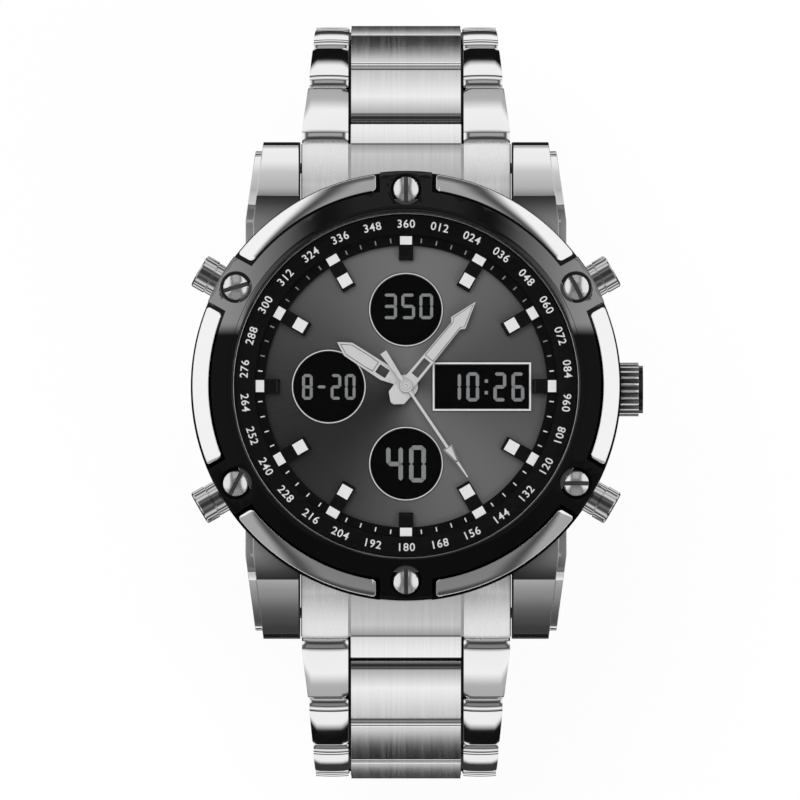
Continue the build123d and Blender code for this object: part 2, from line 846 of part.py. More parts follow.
first_pivot_y = lug_reach + first_pivot_margin
pivots = [(first_pivot_y, first_pivot_z)]
for slope in link_slopes:
    y, z = pivots[-1]
    pivots.append((y + link_pitch * cos(radians(slope)), z - link_pitch * sin(radians(slope))))
half_widths = [share * lug_gap / 2 for share in link_width_shares]


def row_plane(side, pivot, slope):
    # x runs along the link away from the case, y out of its polished face, z across the bracelet.
    heading = (0, side * cos(radians(slope)), -sin(radians(slope)))
    return Plane(origin=(0, side * pivot[0], pivot[1]), x_dir=heading, z_dir=(side, 0, 0))


def outer_side(plane):
    # Side view of an outer piece: a round nose about its pivot and a square far end.
    with BuildSketch(plane) as face:
        with BuildLine():
            ThreePointArc((0, -nose), (-nose, 0), (0, nose))
            Polyline(
                (0, nose),
                (outer_far - link_far_edge, nose),
                (outer_far, nose - link_far_edge),
                (outer_far, link_inner_edge - nose),
                (outer_far - link_inner_edge, -nose),
                (0, -nose),
            )
        make_face()
    return face.sketch


def centre_side(plane, near, reach, limit):
    # Side view of a centre piece: near end curved down, far end a tongue about the next pivot.
    # Nothing lies past the limit.
    with BuildSketch(plane) as face:
        with BuildLine():
            Line((near, -centre_far_reach), (near, nose - centre_round))
            TangentArc((near, nose - centre_round), (near + centre_round, nose), tangent=(0, 1))
            Polyline(
                (near + centre_round, nose),
                (reach - link_far_edge, nose),
                (reach, nose - link_far_edge),
                (reach, 0),
            )
            tongue_pivot = reach - centre_far_reach
            Polyline(
                (reach, 0),
                (reach, -tongue_flat),
                (tongue_pivot + tongue_flat, -centre_far_reach),
                (near, -centre_far_reach),
            )
        make_face()
        with Locations(((near + limit) / 2, 0)):
            Rectangle(limit - near, 2 * link_thickness, mode=Mode.INTERSECT)
    return face.sketch


for side_name, side in (("upper", 1), ("lower", -1)):
    for number in range(len(link_slopes)):
        frame = row_plane(side, pivots[number], link_slopes[number])
        plan = Plane(origin=frame.origin, x_dir=frame.x_dir, z_dir=frame.y_dir)
        near_half = half_widths[number]
        far_half = half_widths[number + 1]
        with BuildPart() as link:
            extrude(outer_side(frame), amount=near_half + overrun, both=True)
            with BuildSketch(plan):
                for across in (1, -1):
                    with BuildLine():
                        Polyline(
                            (-link_pitch, across * row_half),
                            (link_pitch, across * row_half),
                            (link_pitch, across * far_half),
                            (0, across * near_half),
                            (-link_pitch, across * near_half),
                            close=True,
                        )
                    make_face()
            extrude(amount=link_thickness, both=True, mode=Mode.INTERSECT)
            # The centre piece: full width between its own outer pieces, then the narrower tongue.
            whole_centre = centre_side(frame, centre_near, centre_far, centre_far)
            extrude(whole_centre, amount=centre_width / 2, both=True)
            wide_centre = centre_side(frame, centre_near, centre_far, outer_far)
            extrude(wide_centre, amount=row_half, both=True)
            next_frame = row_plane(side, pivots[number + 1], link_slopes[number])
            pin_hole = disc(next_frame, link_pin_radius + running_gap)
            extrude(pin_hole, amount=centre_width, both=True, mode=Mode.SUBTRACT)
            extrude(disc(frame, link_pin_radius), amount=row_half, both=True)
        link.part.label = f"link_{side_name}_{number + 1}"
        export_step(link.part, f"parts/link_{side_name}_{number + 1}.step")

    # End link: fills the gap between two lugs, its tongue carries the first link.
    frame = row_plane(side, pivots[0], end_link_slope)
    face_plane = Plane(origin=(0, 0, 0), x_dir=(0, side, 0), z_dir=(side, 0, 0))
    fall = radians(end_link_slope)
    end_reach = nose + nose_gap
    top_end = (
        first_pivot_y - end_reach * cos(fall) + nose * sin(fall),
        first_pivot_z + end_reach * sin(fall) + nose * cos(fall),
    )
    low_end = (
        first_pivot_y - end_reach * cos(fall) - nose * sin(fall),
        first_pivot_z + end_reach * sin(fall) - nose * cos(fall),
    )
    root_y = lug_reach - end_link_length
    shoulder_y = lug_reach - end_link_slope_length
    shoulder_z = top_end[1] + (top_end[0] - shoulder_y) * sin(fall) / cos(fall)
    with BuildPart() as end_link:
        end_side = [
            (root_y, end_link_base_z),
            (root_y, shoulder_z + end_link_root_drop),
            (shoulder_y, shoulder_z),
            top_end,
            low_end,
            (low_end[0] - nose_gap, end_link_base_z),
        ]
        extrude(outline(face_plane, end_side), amount=lug_gap / 2 - end_link_margin, both=True)
        tongue = centre_side(frame, -link_pitch / 2, centre_far_reach, centre_far_reach)
        extrude(tongue, amount=centre_width / 2, both=True)
        Cylinder(case_radius + end_link_margin, 2 * neck_top, mode=Mode.SUBTRACT)
        pin_hole = disc(frame, link_pin_radius + running_gap)
        extrude(pin_hole, amount=centre_width, both=True, mode=Mode.SUBTRACT)
        with Locations(Location((0, side * bar_y, bar_z), (0, 90, 0))):
            Cylinder(bar_radius + seat_gap, lug_gap, mode=Mode.SUBTRACT)
    end_link.part.label = f"end_link_{side_name}"
    export_step(end_link.part, f"parts/end_link_{side_name}.step")


# Clasp: a folding buckle on one arc, tangent to both last links

clasp_y, clasp_z = pivots[-1]
clasp_fall = radians(180 - link_slopes[-1])
clasp_radius = clasp_y / sin(clasp_fall)
clasp_centre_z = clasp_z + clasp_radius * cos(clasp_fall)
clasp_axis = Axis((0, 0, clasp_centre_z), (1, 0, 0))
clasp_half_width = half_widths[-1]
end_angle = degrees(clasp_fall)


def arc_angle(length):
    return degrees(length / clasp_radius)


def on_arc(radius_offset, angle):
    reach = clasp_radius + radius_offset
    return (reach * sin(radians(angle)), clasp_centre_z - reach * cos(radians(angle)))


def band(low, high, start, end):
    # Side view of a curved strip between two offsets from the pivots' arc and two angles.
    with BuildSketch(Plane.YZ) as face:
        with BuildLine():
            middle = (start + end) / 2
            ThreePointArc(on_arc(low, start), on_arc(low, middle), on_arc(low, end))
            Line(on_arc(low, end), on_arc(high, end))
            ThreePointArc(on_arc(high, end), on_arc(high, middle), on_arc(high, start))
            Line(on_arc(high, start), on_arc(low, start))
        make_face()
    return face.sketch


def knuckle_at(radius_offset, angle, radius):
    y, z = on_arc(radius_offset, angle)
    with BuildSketch(Plane(origin=(0, y, z), x_dir=(0, 1, 0), z_dir=(1, 0, 0))) as face:
        Circle(radius)
    return face.sketch


def slab(face, low_x, high_x):
    # The face carried across the bracelet from one half width to another, on both sides.
    with BuildPart() as block:
        extrude(face, amount=high_x, both=True)
        if low_x > 0:
            extrude(face, amount=low_x, both=True, mode=Mode.SUBTRACT)
    return block.part


plate_low = nose - clasp_plate
blade_top = plate_low - bridge_thickness - 2 * blade_gap
blade_low = blade_top - blade_thickness
fold_angle = -end_angle + arc_angle(fold_setback)
blade_joint_angle = end_angle - arc_angle(blade_joint_setback)
blade_joint_offset = (blade_top + blade_low) / 2
wall_start = fold_angle + arc_angle(fold_knuckle_radius + side_gap)
wall_end = end_angle - arc_angle(tongue_sweep)
plate_start = wall_start + arc_angle(side_gap)

with BuildPart() as clasp_cover:
    add(slab(band(plate_low, nose, plate_start, wall_end), 0, clasp_half_width))
    wall_low = nose - clasp_wall_depth - clasp_plate
    wall_inner = clasp_half_width - clasp_wall
    add(slab(band(wall_low, nose, wall_start, wall_end), wall_inner, clasp_half_width))
    # Two ears take the last upper link's tongue on their pin.
    ear_start = end_angle - arc_angle(cover_ear_length)
    add(slab(band(-nose, nose, ear_start, end_angle), row_half, clasp_half_width))
    add(slab(knuckle_at(0, end_angle, nose), row_half, clasp_half_width))
    add(slab(knuckle_at(0, end_angle, link_pin_radius), 0, row_half))
    # A knuckle at the far end takes the outer blade's pin.
    add(slab(knuckle_at(fold_knuckle_rise, fold_angle, fold_knuckle_radius), 0, strip_half_width))
    add(slab(band(plate_low, nose, fold_angle, plate_start), 0, strip_half_width))
    extrude(
        knuckle_at(fold_knuckle_rise, fold_angle, clasp_pin_radius + running_gap),
        amount=clasp_half_width,
        both=True,
        mode=Mode.SUBTRACT,
    )
    # The release buttons' slots in the side walls.
    button_angle = end_angle - arc_angle(button_setback)
    button_half = arc_angle(button_length / 2)
    button_middle = nose - clasp_plate - button_height / 2 - side_gap
    slot_low = button_middle - button_height / 2 - running_gap
    slot_high = button_middle + button_height / 2 + running_gap
    slot_start = button_angle - button_half - arc_angle(running_gap)
    slot_end = button_angle + button_half + arc_angle(running_gap)
    slot = band(slot_low, slot_high, slot_start, slot_end)
    extrude(slot, amount=clasp_half_width + overrun, both=True, mode=Mode.SUBTRACT)
clasp_cover.part.label = "clasp_cover"
export_step(clasp_cover.part, "parts/clasp_cover.step")

rail_inner = strip_half_width + 2 * side_gap
rail_outer = rail_inner + rail_width
leg_outer = rail_outer + leg_step
ear_outer = rail_outer + ear_step
with BuildPart() as clasp_blade_outer:
    # Two rails from the fold pin to the blade pin, tied by a bridge under the cover.
    rail_end = blade_joint_angle
    add(slab(band(blade_low, blade_top, fold_angle, rail_end), rail_inner, rail_outer))
    rail_knuckle = knuckle_at(blade_joint_offset, rail_end, fold_knuckle_radius)
    add(slab(rail_knuckle, rail_inner, rail_outer))
    leg = band(blade_low, fold_knuckle_rise, fold_angle - arc_angle(fold_knuckle_radius), fold_angle)
    leg_far = band(blade_low, fold_knuckle_rise, fold_angle, fold_angle + arc_angle(fold_knuckle_radius))
    add(slab(leg, rail_inner, leg_outer))
    add(slab(leg_far, rail_inner, leg_outer))
    leg_knuckle = knuckle_at(fold_knuckle_rise, fold_angle, fold_knuckle_radius)
    add(slab(leg_knuckle, rail_inner, leg_outer))
    add(slab(knuckle_at(fold_knuckle_rise, fold_angle, clasp_pin_radius), 0, rail_inner))
    bridge_start = fold_angle + arc_angle(2 * web_length + fold_knuckle_radius)
    bridge_end = bridge_start + arc_angle(bridge_length)
    bridge_low = blade_top + blade_gap
    bridge = band(bridge_low, bridge_low + bridge_thickness, bridge_start, bridge_end)
    add(slab(bridge, 0, rail_outer))
    add(slab(band(blade_low, bridge_low, bridge_start, bridge_end), rail_inner, rail_outer))
    extrude(
        knuckle_at(blade_joint_offset, rail_end, clasp_pin_radius + running_gap),
        amount=clasp_half_width,
        both=True,
        mode=Mode.SUBTRACT,
    )
clasp_blade_outer.part.label = "clasp_blade_outer"
export_step(clasp_blade_outer.part, "parts/clasp_blade_outer.step")

with BuildPart() as clasp_blade_inner:
    # A strip inside the outer blade, a web past the fold and two ears for the last lower link.
    web_near = fold_angle - arc_angle(web_start)
    web_far = web_near - arc_angle(web_length)
    add(slab(band(blade_low, blade_top, web_near, blade_joint_angle), 0, strip_half_width))
    add(slab(band(blade_low, blade_top, web_far, web_near), 0, ear_outer))
    joint_knuckle = knuckle_at(blade_joint_offset, blade_joint_angle, fold_knuckle_radius)
    add(slab(joint_knuckle, 0, strip_half_width))
    add(slab(knuckle_at(blade_joint_offset, blade_joint_angle, clasp_pin_radius), 0, rail_outer))
    ear_side = [
        on_arc(blade_low, web_near),
        on_arc(blade_top, web_near),
        on_arc(ear_radius, -end_angle),
        on_arc(-ear_radius, -end_angle),
        on_arc(blade_low, web_far),
    ]
    add(slab(outline(Plane.YZ, ear_side), row_half, ear_outer))
    add(slab(knuckle_at(0, -end_angle, ear_radius), row_half, ear_outer))
    extrude(
        knuckle_at(0, -end_angle, clasp_bar_tip_radius + running_gap),
        amount=clasp_half_width,
        both=True,
        mode=Mode.SUBTRACT,
    )
clasp_blade_inner.part.label = "clasp_blade_inner"
export_step(clasp_blade_inner.part, "parts/clasp_blade_inner.step")

# The clasp's spring bar lies drawn in inside the last lower link's tongue.
with BuildPart() as clasp_spring_bar:
    bar_half = centre_width / 2
    add(slab(knuckle_at(0, -end_angle, clasp_bar_radius), 0, bar_half - clasp_bar_tip))
    add(slab(knuckle_at(0, -end_angle, clasp_bar_tip_radius), 0, bar_half))
clasp_spring_bar.part.label = "clasp_spring_bar"
export_step(clasp_spring_bar.part, "parts/clasp_spring_bar.step")

button_low = button_middle - button_height / 2
button_high = button_middle + button_height / 2
button_inner = wall_inner - button_head
button_outer = clasp_half_width + button_stand
for side_name, side in (("right", 1), ("left", -1)):
    with BuildPart() as button:
        shape = band(button_low, button_high, button_angle - button_half, button_angle + button_half)
        extrude(shape, amount=side * button_outer)
        extrude(shape, amount=side * button_inner, mode=Mode.SUBTRACT)
    button.part.label = f"clasp_button_{side_name}"
    export_step(button.part, f"parts/clasp_button_{side_name}.step")

print("pivots", [(round(y, 3), round(z, 3)) for y, z in pivots])
print("clasp radius", round(clasp_radius, 3), "centre z", round(clasp_centre_z, 3))
print("fold axis", on_arc(fold_knuckle_rise, fold_angle))
print("blade axis", on_arc(blade_joint_offset, blade_joint_angle))
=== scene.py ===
import json
from math import atan2, cos, degrees, pi, radians, sin
import bpy
import bmesh
from mathutils import Matrix, Vector


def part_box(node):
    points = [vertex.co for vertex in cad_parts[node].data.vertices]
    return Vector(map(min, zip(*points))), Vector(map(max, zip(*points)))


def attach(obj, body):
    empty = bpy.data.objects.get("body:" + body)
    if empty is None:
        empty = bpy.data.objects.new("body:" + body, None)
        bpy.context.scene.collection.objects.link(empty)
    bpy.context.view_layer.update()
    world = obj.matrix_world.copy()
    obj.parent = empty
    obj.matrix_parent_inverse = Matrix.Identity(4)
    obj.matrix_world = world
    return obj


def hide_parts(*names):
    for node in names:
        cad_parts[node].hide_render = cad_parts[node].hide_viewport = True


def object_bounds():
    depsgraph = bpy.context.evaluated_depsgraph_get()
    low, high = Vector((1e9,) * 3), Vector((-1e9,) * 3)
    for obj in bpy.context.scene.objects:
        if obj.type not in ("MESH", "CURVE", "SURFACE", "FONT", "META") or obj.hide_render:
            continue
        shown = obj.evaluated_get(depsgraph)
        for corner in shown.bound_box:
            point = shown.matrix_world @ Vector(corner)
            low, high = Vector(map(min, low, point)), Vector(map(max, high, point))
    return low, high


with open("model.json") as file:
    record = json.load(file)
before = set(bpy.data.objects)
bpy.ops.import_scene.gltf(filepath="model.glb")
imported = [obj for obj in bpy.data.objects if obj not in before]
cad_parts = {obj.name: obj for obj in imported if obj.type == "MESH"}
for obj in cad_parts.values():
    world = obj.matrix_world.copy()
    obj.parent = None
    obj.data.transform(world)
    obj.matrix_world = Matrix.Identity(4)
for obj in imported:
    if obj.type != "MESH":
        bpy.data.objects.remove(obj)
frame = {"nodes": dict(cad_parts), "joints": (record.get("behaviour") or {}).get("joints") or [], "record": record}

mm = 0.001
nodes = frame["nodes"]
hinges = {joint["name"]: joint for joint in frame["joints"]}
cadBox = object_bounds()
print("frame loaded,", len(nodes), "nodes")


# Camera, floor and light

camera = {
    "tilt": 3.6,  # degrees off square to the dial, towards 6
    "distance": 2.6,
    "frameWidth": 0.0906,
    "aim": (-0.00068, -0.00163, 0.0125),
    "sensor": 36,
    "clip": (0.05, 20),
}


def makeCamera():
    data = bpy.data.cameras.new("camera")
    data.sensor_width = camera["sensor"]
    data.lens = camera["sensor"] * camera["distance"] / camera["frameWidth"]
    data.clip_start, data.clip_end = camera["clip"]
    eye = bpy.data.objects.new("camera", data)
    bpy.context.scene.collection.objects.link(eye)
    tilt = radians(camera["tilt"])
    back = Vector((0, -sin(tilt), cos(tilt)))
    eye.location = Vector(camera["aim"]) + back * camera["distance"]
    eye.rotation_mode = "QUATERNION"
    eye.rotation_quaternion = back.to_track_quat("Z", "Y")
    bpy.context.scene.camera = eye


def feed(tree, socket, value):
    # A socket takes another socket, a plain number, or three numbers for a place or a colour.
    if isinstance(value, bpy.types.NodeSocket):
        tree.links.new(value, socket)
    elif isinstance(value, tuple):
        socket.default_value = (*value, 1)[:len(socket.default_value)]
    elif value is not None:
        socket.default_value = value


def addNode(tree, kind, inputs=None, **settings):
    # inputs: what its sockets take, by their names or numbers.
    node = tree.nodes.new(kind)
    for name, value in settings.items():
        setattr(node, name, value)
    for name, value in (inputs or {}).items():
        feed(tree, node.inputs[name], value)
    return node


def wire(tree, node, **inputs):
    # inputs: what its sockets take, by their names with _ for a space.
    for name, value in inputs.items():
        feed(tree, node.inputs[name.replace("_", " ")], value)


def newMaterial(name, **inputs):
    material = bpy.data.materials.new(name)
    material.use_nodes = True
    tree = material.node_tree
    surface = tree.nodes["Principled BSDF"]
    wire(tree, surface, **inputs)
    return material, tree, surface


def mathNode(tree, operation, first, second=None):
    return addNode(tree, "ShaderNodeMath", {0: first, 1: second}, operation=operation).outputs[0]


def product(tree, total, *others):
    for value in others:
        total = mathNode(tree, "MULTIPLY", total, value)
    return total


def rangeNode(tree, value, ends, levels=(0.0, 1.0), kind="LINEAR"):
    # Carries a value from between its ends to between two levels.
    inputs = dict(enumerate((value, *ends, *levels)))
    return addNode(tree, "ShaderNodeMapRange", inputs, interpolation_type=kind).outputs[0]


def smoothStep(tree, value, ends, levels=(0.0, 1.0)):
    return rangeNode(tree, value, ends, levels, "SMOOTHSTEP")


def rampNode(tree, factor, stops):
    # stops: (position, grey).
    node = addNode(tree, "ShaderNodeValToRGB", {0: factor})
    points = node.color_ramp.elements
    while len(points) < len(stops):
        points.new(1.0)
    for point, (place, grey) in zip(points, stops):
        point.position = place
        point.color = (grey, grey, grey, 1)
    return node.outputs[0]


def mixColour(tree, factor, first, second, kind="MIX"):
    inputs = {0: factor, 6: first, 7: second}
    return addNode(tree, "ShaderNodeMix", inputs, data_type="RGBA", blend_type=kind).outputs[2]


def mixShader(tree, share, first, second):
    return addNode(tree, "ShaderNodeMixShader", {0: share, 1: first, 2: second}).outputs[0]


def placeOf(tree, coords="Object"):
    # Where the shaded spot lies; for the sky, the way that it is seen.
    return addNode(tree, "ShaderNodeTexCoord").outputs[coords]


def turnedPlace(tree, coords, turn):
    return addNode(tree, "ShaderNodeMapping", {"Vector": placeOf(tree, coords), "Rotation": turn}).outputs[0]


def splitAxes(tree, vector):
    return addNode(tree, "ShaderNodeSeparateXYZ", {0: vector}).outputs


studio = {
    "plainLevel": 0.62,
    "skyTurn": 3.6,  # the reflected sky is centred where flat faces look
    # Grey by angle off the dial's line of sight, in parts of 180 degrees.
    "bands": [
        (0.0, 0.05), (0.06, 0.08), (0.11, 0.37), (0.225, 0.40), (0.255, 0.10), (0.285, 0.16), (0.31, 0.50),
        (0.342, 0.62), (0.362, 0.94), (0.41, 0.98), (0.435, 0.48), (0.47, 0.43), (0.485, 0.06), (0.54, 0.06),
        (0.556, 0.96), (0.617, 0.96), (0.63, 0.35), (0.636, 0.006), (0.69, 0.006), (0.70, 0.35),
        (0.71, 0.94), (0.835, 0.94), (0.855, 0.04), (1.0, 0.03),
    ],
    "lowerShade": 0.6,  # the side towards 6 is darker close to the line of sight
    "lowerReach": (0.0, -0.3),
    "sideLean": 0.2,
    "shadeReach": (0.13, 0.24),
    "shadeGrey": 0.085,
    "shadeFades": (0.26, 0.32),
    "sideReach": (0.245, 0.365),
    "sideWeakens": (-0.22, -0.36),
    "sideWeakest": 0.35,
}


def makeWorld():
    world = bpy.data.worlds.new("studio")
    bpy.context.scene.world = world
    world.use_nodes = True
    tree = world.node_tree
    tree.nodes.clear()
    x, y, z = splitAxes(tree, turnedPlace(tree, "Generated", (radians(studio["skyTurn"]), 0, 0)))
    lean = product(tree, mathNode(tree, "MINIMUM", y, 0.0), studio["sideLean"])
    across = mathNode(tree, "ADD", mathNode(tree, "ABSOLUTE", x), lean)
    along = mathNode(tree, "ABSOLUTE", y)
    fall = mathNode(tree, "DIVIDE", mathNode(tree, "ARCTAN2", along, z), pi)
    fade = smoothStep(tree, fall, studio["shadeFades"], (1.0, 0.0))
    below = smoothStep(tree, y, studio["lowerReach"])
    dimming = product(tree, below, fade, 1 - studio["lowerShade"])
    bands = mixColour(tree, dimming, rampNode(tree, fall, studio["bands"]), (0.0, 0.0, 0.0))
    # Soft boxes stand at both sides, with a dark gap between them and the middle.
    shading = product(tree, smoothStep(tree, across, studio["shadeReach"]), fade)
    shaded = mixColour(tree, shading, bands, (studio["shadeGrey"],) * 3)
    weaker = smoothStep(tree, y, studio["sideWeakens"], (1.0, studio["sideWeakest"]))
    beside = product(tree, smoothStep(tree, across, studio["sideReach"]), fade, weaker)
    seen = mixColour(tree, beside, shaded, (1.0, 1.0, 1.0))
    glossy = addNode(tree, "ShaderNodeBackground", {"Color": seen, "Strength": 1.0})
    plain = addNode(tree, "ShaderNodeBackground", {"Color": (1, 1, 1), "Strength": studio["plainLevel"]})
    white = addNode(tree, "ShaderNodeBackground", {"Color": (1, 1, 1), "Strength": 1.0})
    paths = addNode(tree, "ShaderNodeLightPath").outputs
    around = mixShader(tree, paths["Is Glossy Ray"], plain.outputs[0], glossy.outputs[0])
    straight = mathNode(tree, "MAXIMUM", paths["Is Camera Ray"], paths["Is Transmission Ray"])
    addNode(tree, "ShaderNodeOutputWorld", {0: mixShader(tree, straight, around, white.outputs[0])})


lamps = [
    {"name": "overhead", "place": (-0.15, 0.25, 0.75), "size": 0.5, "power": 3.2},
    {"name": "front", "place": (0.35, -0.45, 0.55), "size": 0.4, "power": 1.6},
]


def makeLamps():
    for lamp in lamps:
        data = bpy.data.lights.new(lamp["name"], "AREA")
        data.size = lamp["size"]
        data.energy = lamp["power"]
        bulb = bpy.data.objects.new(lamp["name"], data)
        bpy.context.scene.collection.objects.link(bulb)
        bulb.location = lamp["place"]
        bulb.rotation_mode = "QUATERNION"
        bulb.rotation_quaternion = Vector(lamp["place"]).to_track_quat("Z", "Y")
        bulb.visible_glossy = False


floor = {"halfSize": 1.2, "gap": 0.0002, "grey": 0.93, "rough": 0.9, "glow": 0.93}


def makeFloor():
    bm = bmesh.new()
    bmesh.ops.create_grid(bm, x_segments=1, y_segments=1, size=floor["halfSize"])
    bmesh.ops.translate(bm, verts=bm.verts, vec=(0, 0, cadBox[0].z - floor["gap"]))
    mesh = bpy.data.meshes.new("floor")
    bm.to_mesh(mesh)
    bm.free()
    ground = bpy.data.objects.new("floor", mesh)
    bpy.context.scene.collection.objects.link(ground)
    grey = (floor["grey"],) * 3
    paper, tree, surface = newMaterial("floorPaper", Base_Color=grey, Roughness=floor["rough"])
    # Seen straight, the paper is as white as the backdrop, with the shadow kept faint.
    glow = addNode(tree, "ShaderNodeEmission", {"Color": (1, 1, 1), "Strength": 1.0})
    paths = addNode(tree, "ShaderNodeLightPath")
    share = product(tree, paths.outputs["Is Camera Ray"], floor["glow"])
    joined = mixShader(tree, share, surface.outputs[0], glow.outputs[0])
    wire(tree, tree.nodes["Material Output"], Surface=joined)
    ground.data.materials.append(paper)
    ground.visible_glossy = False


makeCamera()
makeWorld()
makeLamps()
makeFloor()
bpy.context.scene.view_settings.view_transform = "Standard"
print("camera, floor and light made")


# Shared effects: streaks of a brushed face, fine scratches and soft blotches

streakStyle = {"fineShare": 0.7, "coarseScale": 0.25}
markStyle = {"softShare": 0.6, "hairScale": 9.0}


def newGroup(name, numbers):
    # A group that takes a vector and the named numbers and puts out one mask.
    group = bpy.data.node_groups.new(name, "ShaderNodeTree")
    group.interface.new_socket("Vector", in_out="INPUT", socket_type="NodeSocketVector")
    for label, value in numbers.items():
        socket = group.interface.new_socket(label, in_out="INPUT", socket_type="NodeSocketFloat")
        socket.default_value = value
    group.interface.new_socket("Mask", in_out="OUTPUT", socket_type="NodeSocketFloat")
    return group, addNode(group, "NodeGroupInput"), addNode(group, "NodeGroupOutput")


def noiseNode(tree, vector, scale, **inputs):
    return addNode(tree, "ShaderNodeTexNoise", {"Vector": vector, "Scale": scale, **inputs}).outputs[0]


def blend(tree, first, share, second):
    # The first value by its share, the rest from the second.
    return mathNode(tree, "ADD", product(tree, first, share), product(tree, second, 1 - share))


def makeStreaks():
    # Streaks run along the first axis of the vector, in two widths.
    group, given, result = newGroup("brushedStreaks", {"Stretch": 0.04, "Scale": 6.0})
    along, across, out = splitAxes(group, given.outputs["Vector"])
    squeezed = product(group, along, given.outputs["Stretch"])
    vector = addNode(group, "ShaderNodeCombineXYZ", {0: squeezed, 1: across, 2: out}).outputs[0]
    scale = given.outputs["Scale"]
    fine = noiseNode(group, vector, scale, Detail=3.0, Roughness=0.7)
    coarse = noiseNode(group, vector, product(group, scale, streakStyle["coarseScale"]), Detail=1.0)
    wire(group, result, Mask=blend(group, fine, streakStyle["fineShare"], coarse))
    return group


def makeBlotches():
    # Soft handling marks and fine scratches, as a mask about a half.
    group, given, result = newGroup("handlingMarks", {"Scale": 300.0})
    vector, scale = given.outputs["Vector"], given.outputs["Scale"]
    soft = noiseNode(group, vector, scale, Detail=2.0)
    hair = noiseNode(group, vector, product(group, scale, markStyle["hairScale"]), Detail=4.0, Distortion=1.5)
    wire(group, result, Mask=blend(group, soft, markStyle["softShare"], hair))
    return group


streakGroup = makeStreaks()
markGroup = makeBlotches()


# Finishes

noiseReach = (0.3, 0.7)  # nearly all that a noise texture puts out
bumpHeight = 0.02 * mm
mapScale = 0.1  # of the links' own face maps, per mm
polishing = {"marks": 350.0, "low": 0.7, "high": 1.5, "tone": 0.96}
coating = {"marks": 500.0, "low": 0.8, "high": 1.3, "tone": 0.85}
brushing = {
    "stretch": 0.03, "low": 0.8, "high": 1.25,
    "turns": {"UV": 0, "Object": 90},  # degrees that lay the streaks along the piece
}


def spread(tree, mask, low, high):
    return rangeNode(tree, mask, noiseReach, (low, high))


def useMarks(tree, scale):
    inputs = {"Vector": placeOf(tree), "Scale": scale}
    return addNode(tree, "ShaderNodeGroup", inputs, node_tree=markGroup).outputs[0]


def bumpOf(tree, height, strength):
    inputs = {"Strength": strength, "Distance": bumpHeight, "Height": height}
    return addNode(tree, "ShaderNodeBump", inputs).outputs[0]


def marked(wear, name, colour, rough, **inputs):
    # wear: how far the handling marks change the roughness and the colour.
    material, tree, surface = newMaterial(name, **inputs)
    mask = useMarks(tree, wear["marks"])
    low = tuple(part * wear["tone"] for part in colour)
    wire(tree, surface, Base_Color=mixColour(tree, mask, low, colour),
         Roughness=spread(tree, mask, rough * wear["low"], rough * wear["high"]))
    return material


def polished(name, colour, rough):
    return marked(polishing, name, colour, rough, Metallic=1.0)


def coated(name, colour, rough, **inputs):
    return marked(coating, name, colour, rough, **inputs)


def brushed(name, colour, contrast, coords, scale, rough=0.32, bump=0.12, metallic=1.0):
    material, tree, surface = newMaterial(name, Metallic=metallic)
    inputs = {
        "Vector": turnedPlace(tree, coords, (0, 0, radians(brushing["turns"][coords]))),
        "Stretch": brushing["stretch"], "Scale": scale,
    }
    mask = addNode(tree, "ShaderNodeGroup", inputs, node_tree=streakGroup).outputs[0]
    low = tuple(part * (1 - contrast) for part in colour)
    wire(tree, surface, Base_Color=mixColour(tree, spread(tree, mask, 0.0, 1.0), low, colour),
         Roughness=spread(tree, mask, rough * brushing["low"], rough * brushing["high"]),
         Normal=bumpOf(tree, mask, bump))
    return material


def paintedShadeAlong(material, stops):
    # Painted shade along the link, laid over its colour; stops: (mm from the pivot, grey).
    tree = material.node_tree
    socket = tree.nodes["Principled BSDF"].inputs["Base Color"]
    plain = socket.links[0].from_socket
    low, high = stops[0][0], stops[-1][0]
    along = splitAxes(tree, placeOf(tree, "UV"))[0]
    reach = rangeNode(tree, along, (low * mapScale, high * mapScale))
    tone = rampNode(tree, reach, [((part - low) / (high - low), grey) for part, grey in stops])
    tree.links.new(mixColour(tree, 1.0, plain, tone, "MULTIPLY"), socket)


lugPaintedReflectionAndWear = {"span": 30, "marks": 0.1, "rough": (0.06, 0.12)}


def paintedReflectionSteel(name, stops, metallic):
    # Polished steel with a painted reflection: its tone changes along Y, with handling marks over it; stops: (mm
    # from the middle, grey).
    material, tree, surface = newMaterial(name, Metallic=metallic)
    y = splitAxes(tree, placeOf(tree))[1]
    reach = mathNode(tree, "DIVIDE", mathNode(tree, "ABSOLUTE", y), lugPaintedReflectionAndWear["span"] * mm)
    tone = rampNode(tree, reach, [(part / lugPaintedReflectionAndWear["span"], grey) for part, grey in stops])
    mask = useMarks(tree, polishing["marks"])
    worn = mixColour(tree, product(tree, mask, lugPaintedReflectionAndWear["marks"]), tone, (0.0, 0.0, 0.0))
    wire(tree, surface, Base_Color=worn, Roughness=spread(tree, mask, *lugPaintedReflectionAndWear["rough"]))
    return material


dialLight = {
    # The fans are painted light.
    "paintedLightFans": [(1, 35, 0.19), (2, -75, 0.20), (3, -50, 0.07)],  # beams around, degrees, strength
    "middle": 0.37, "grain": 0.05, "rayScale": 60.0, "bump": 0.05,
    "dark": (0.011, 0.011, 0.011), "light": (0.235, 0.235, 0.238),
}


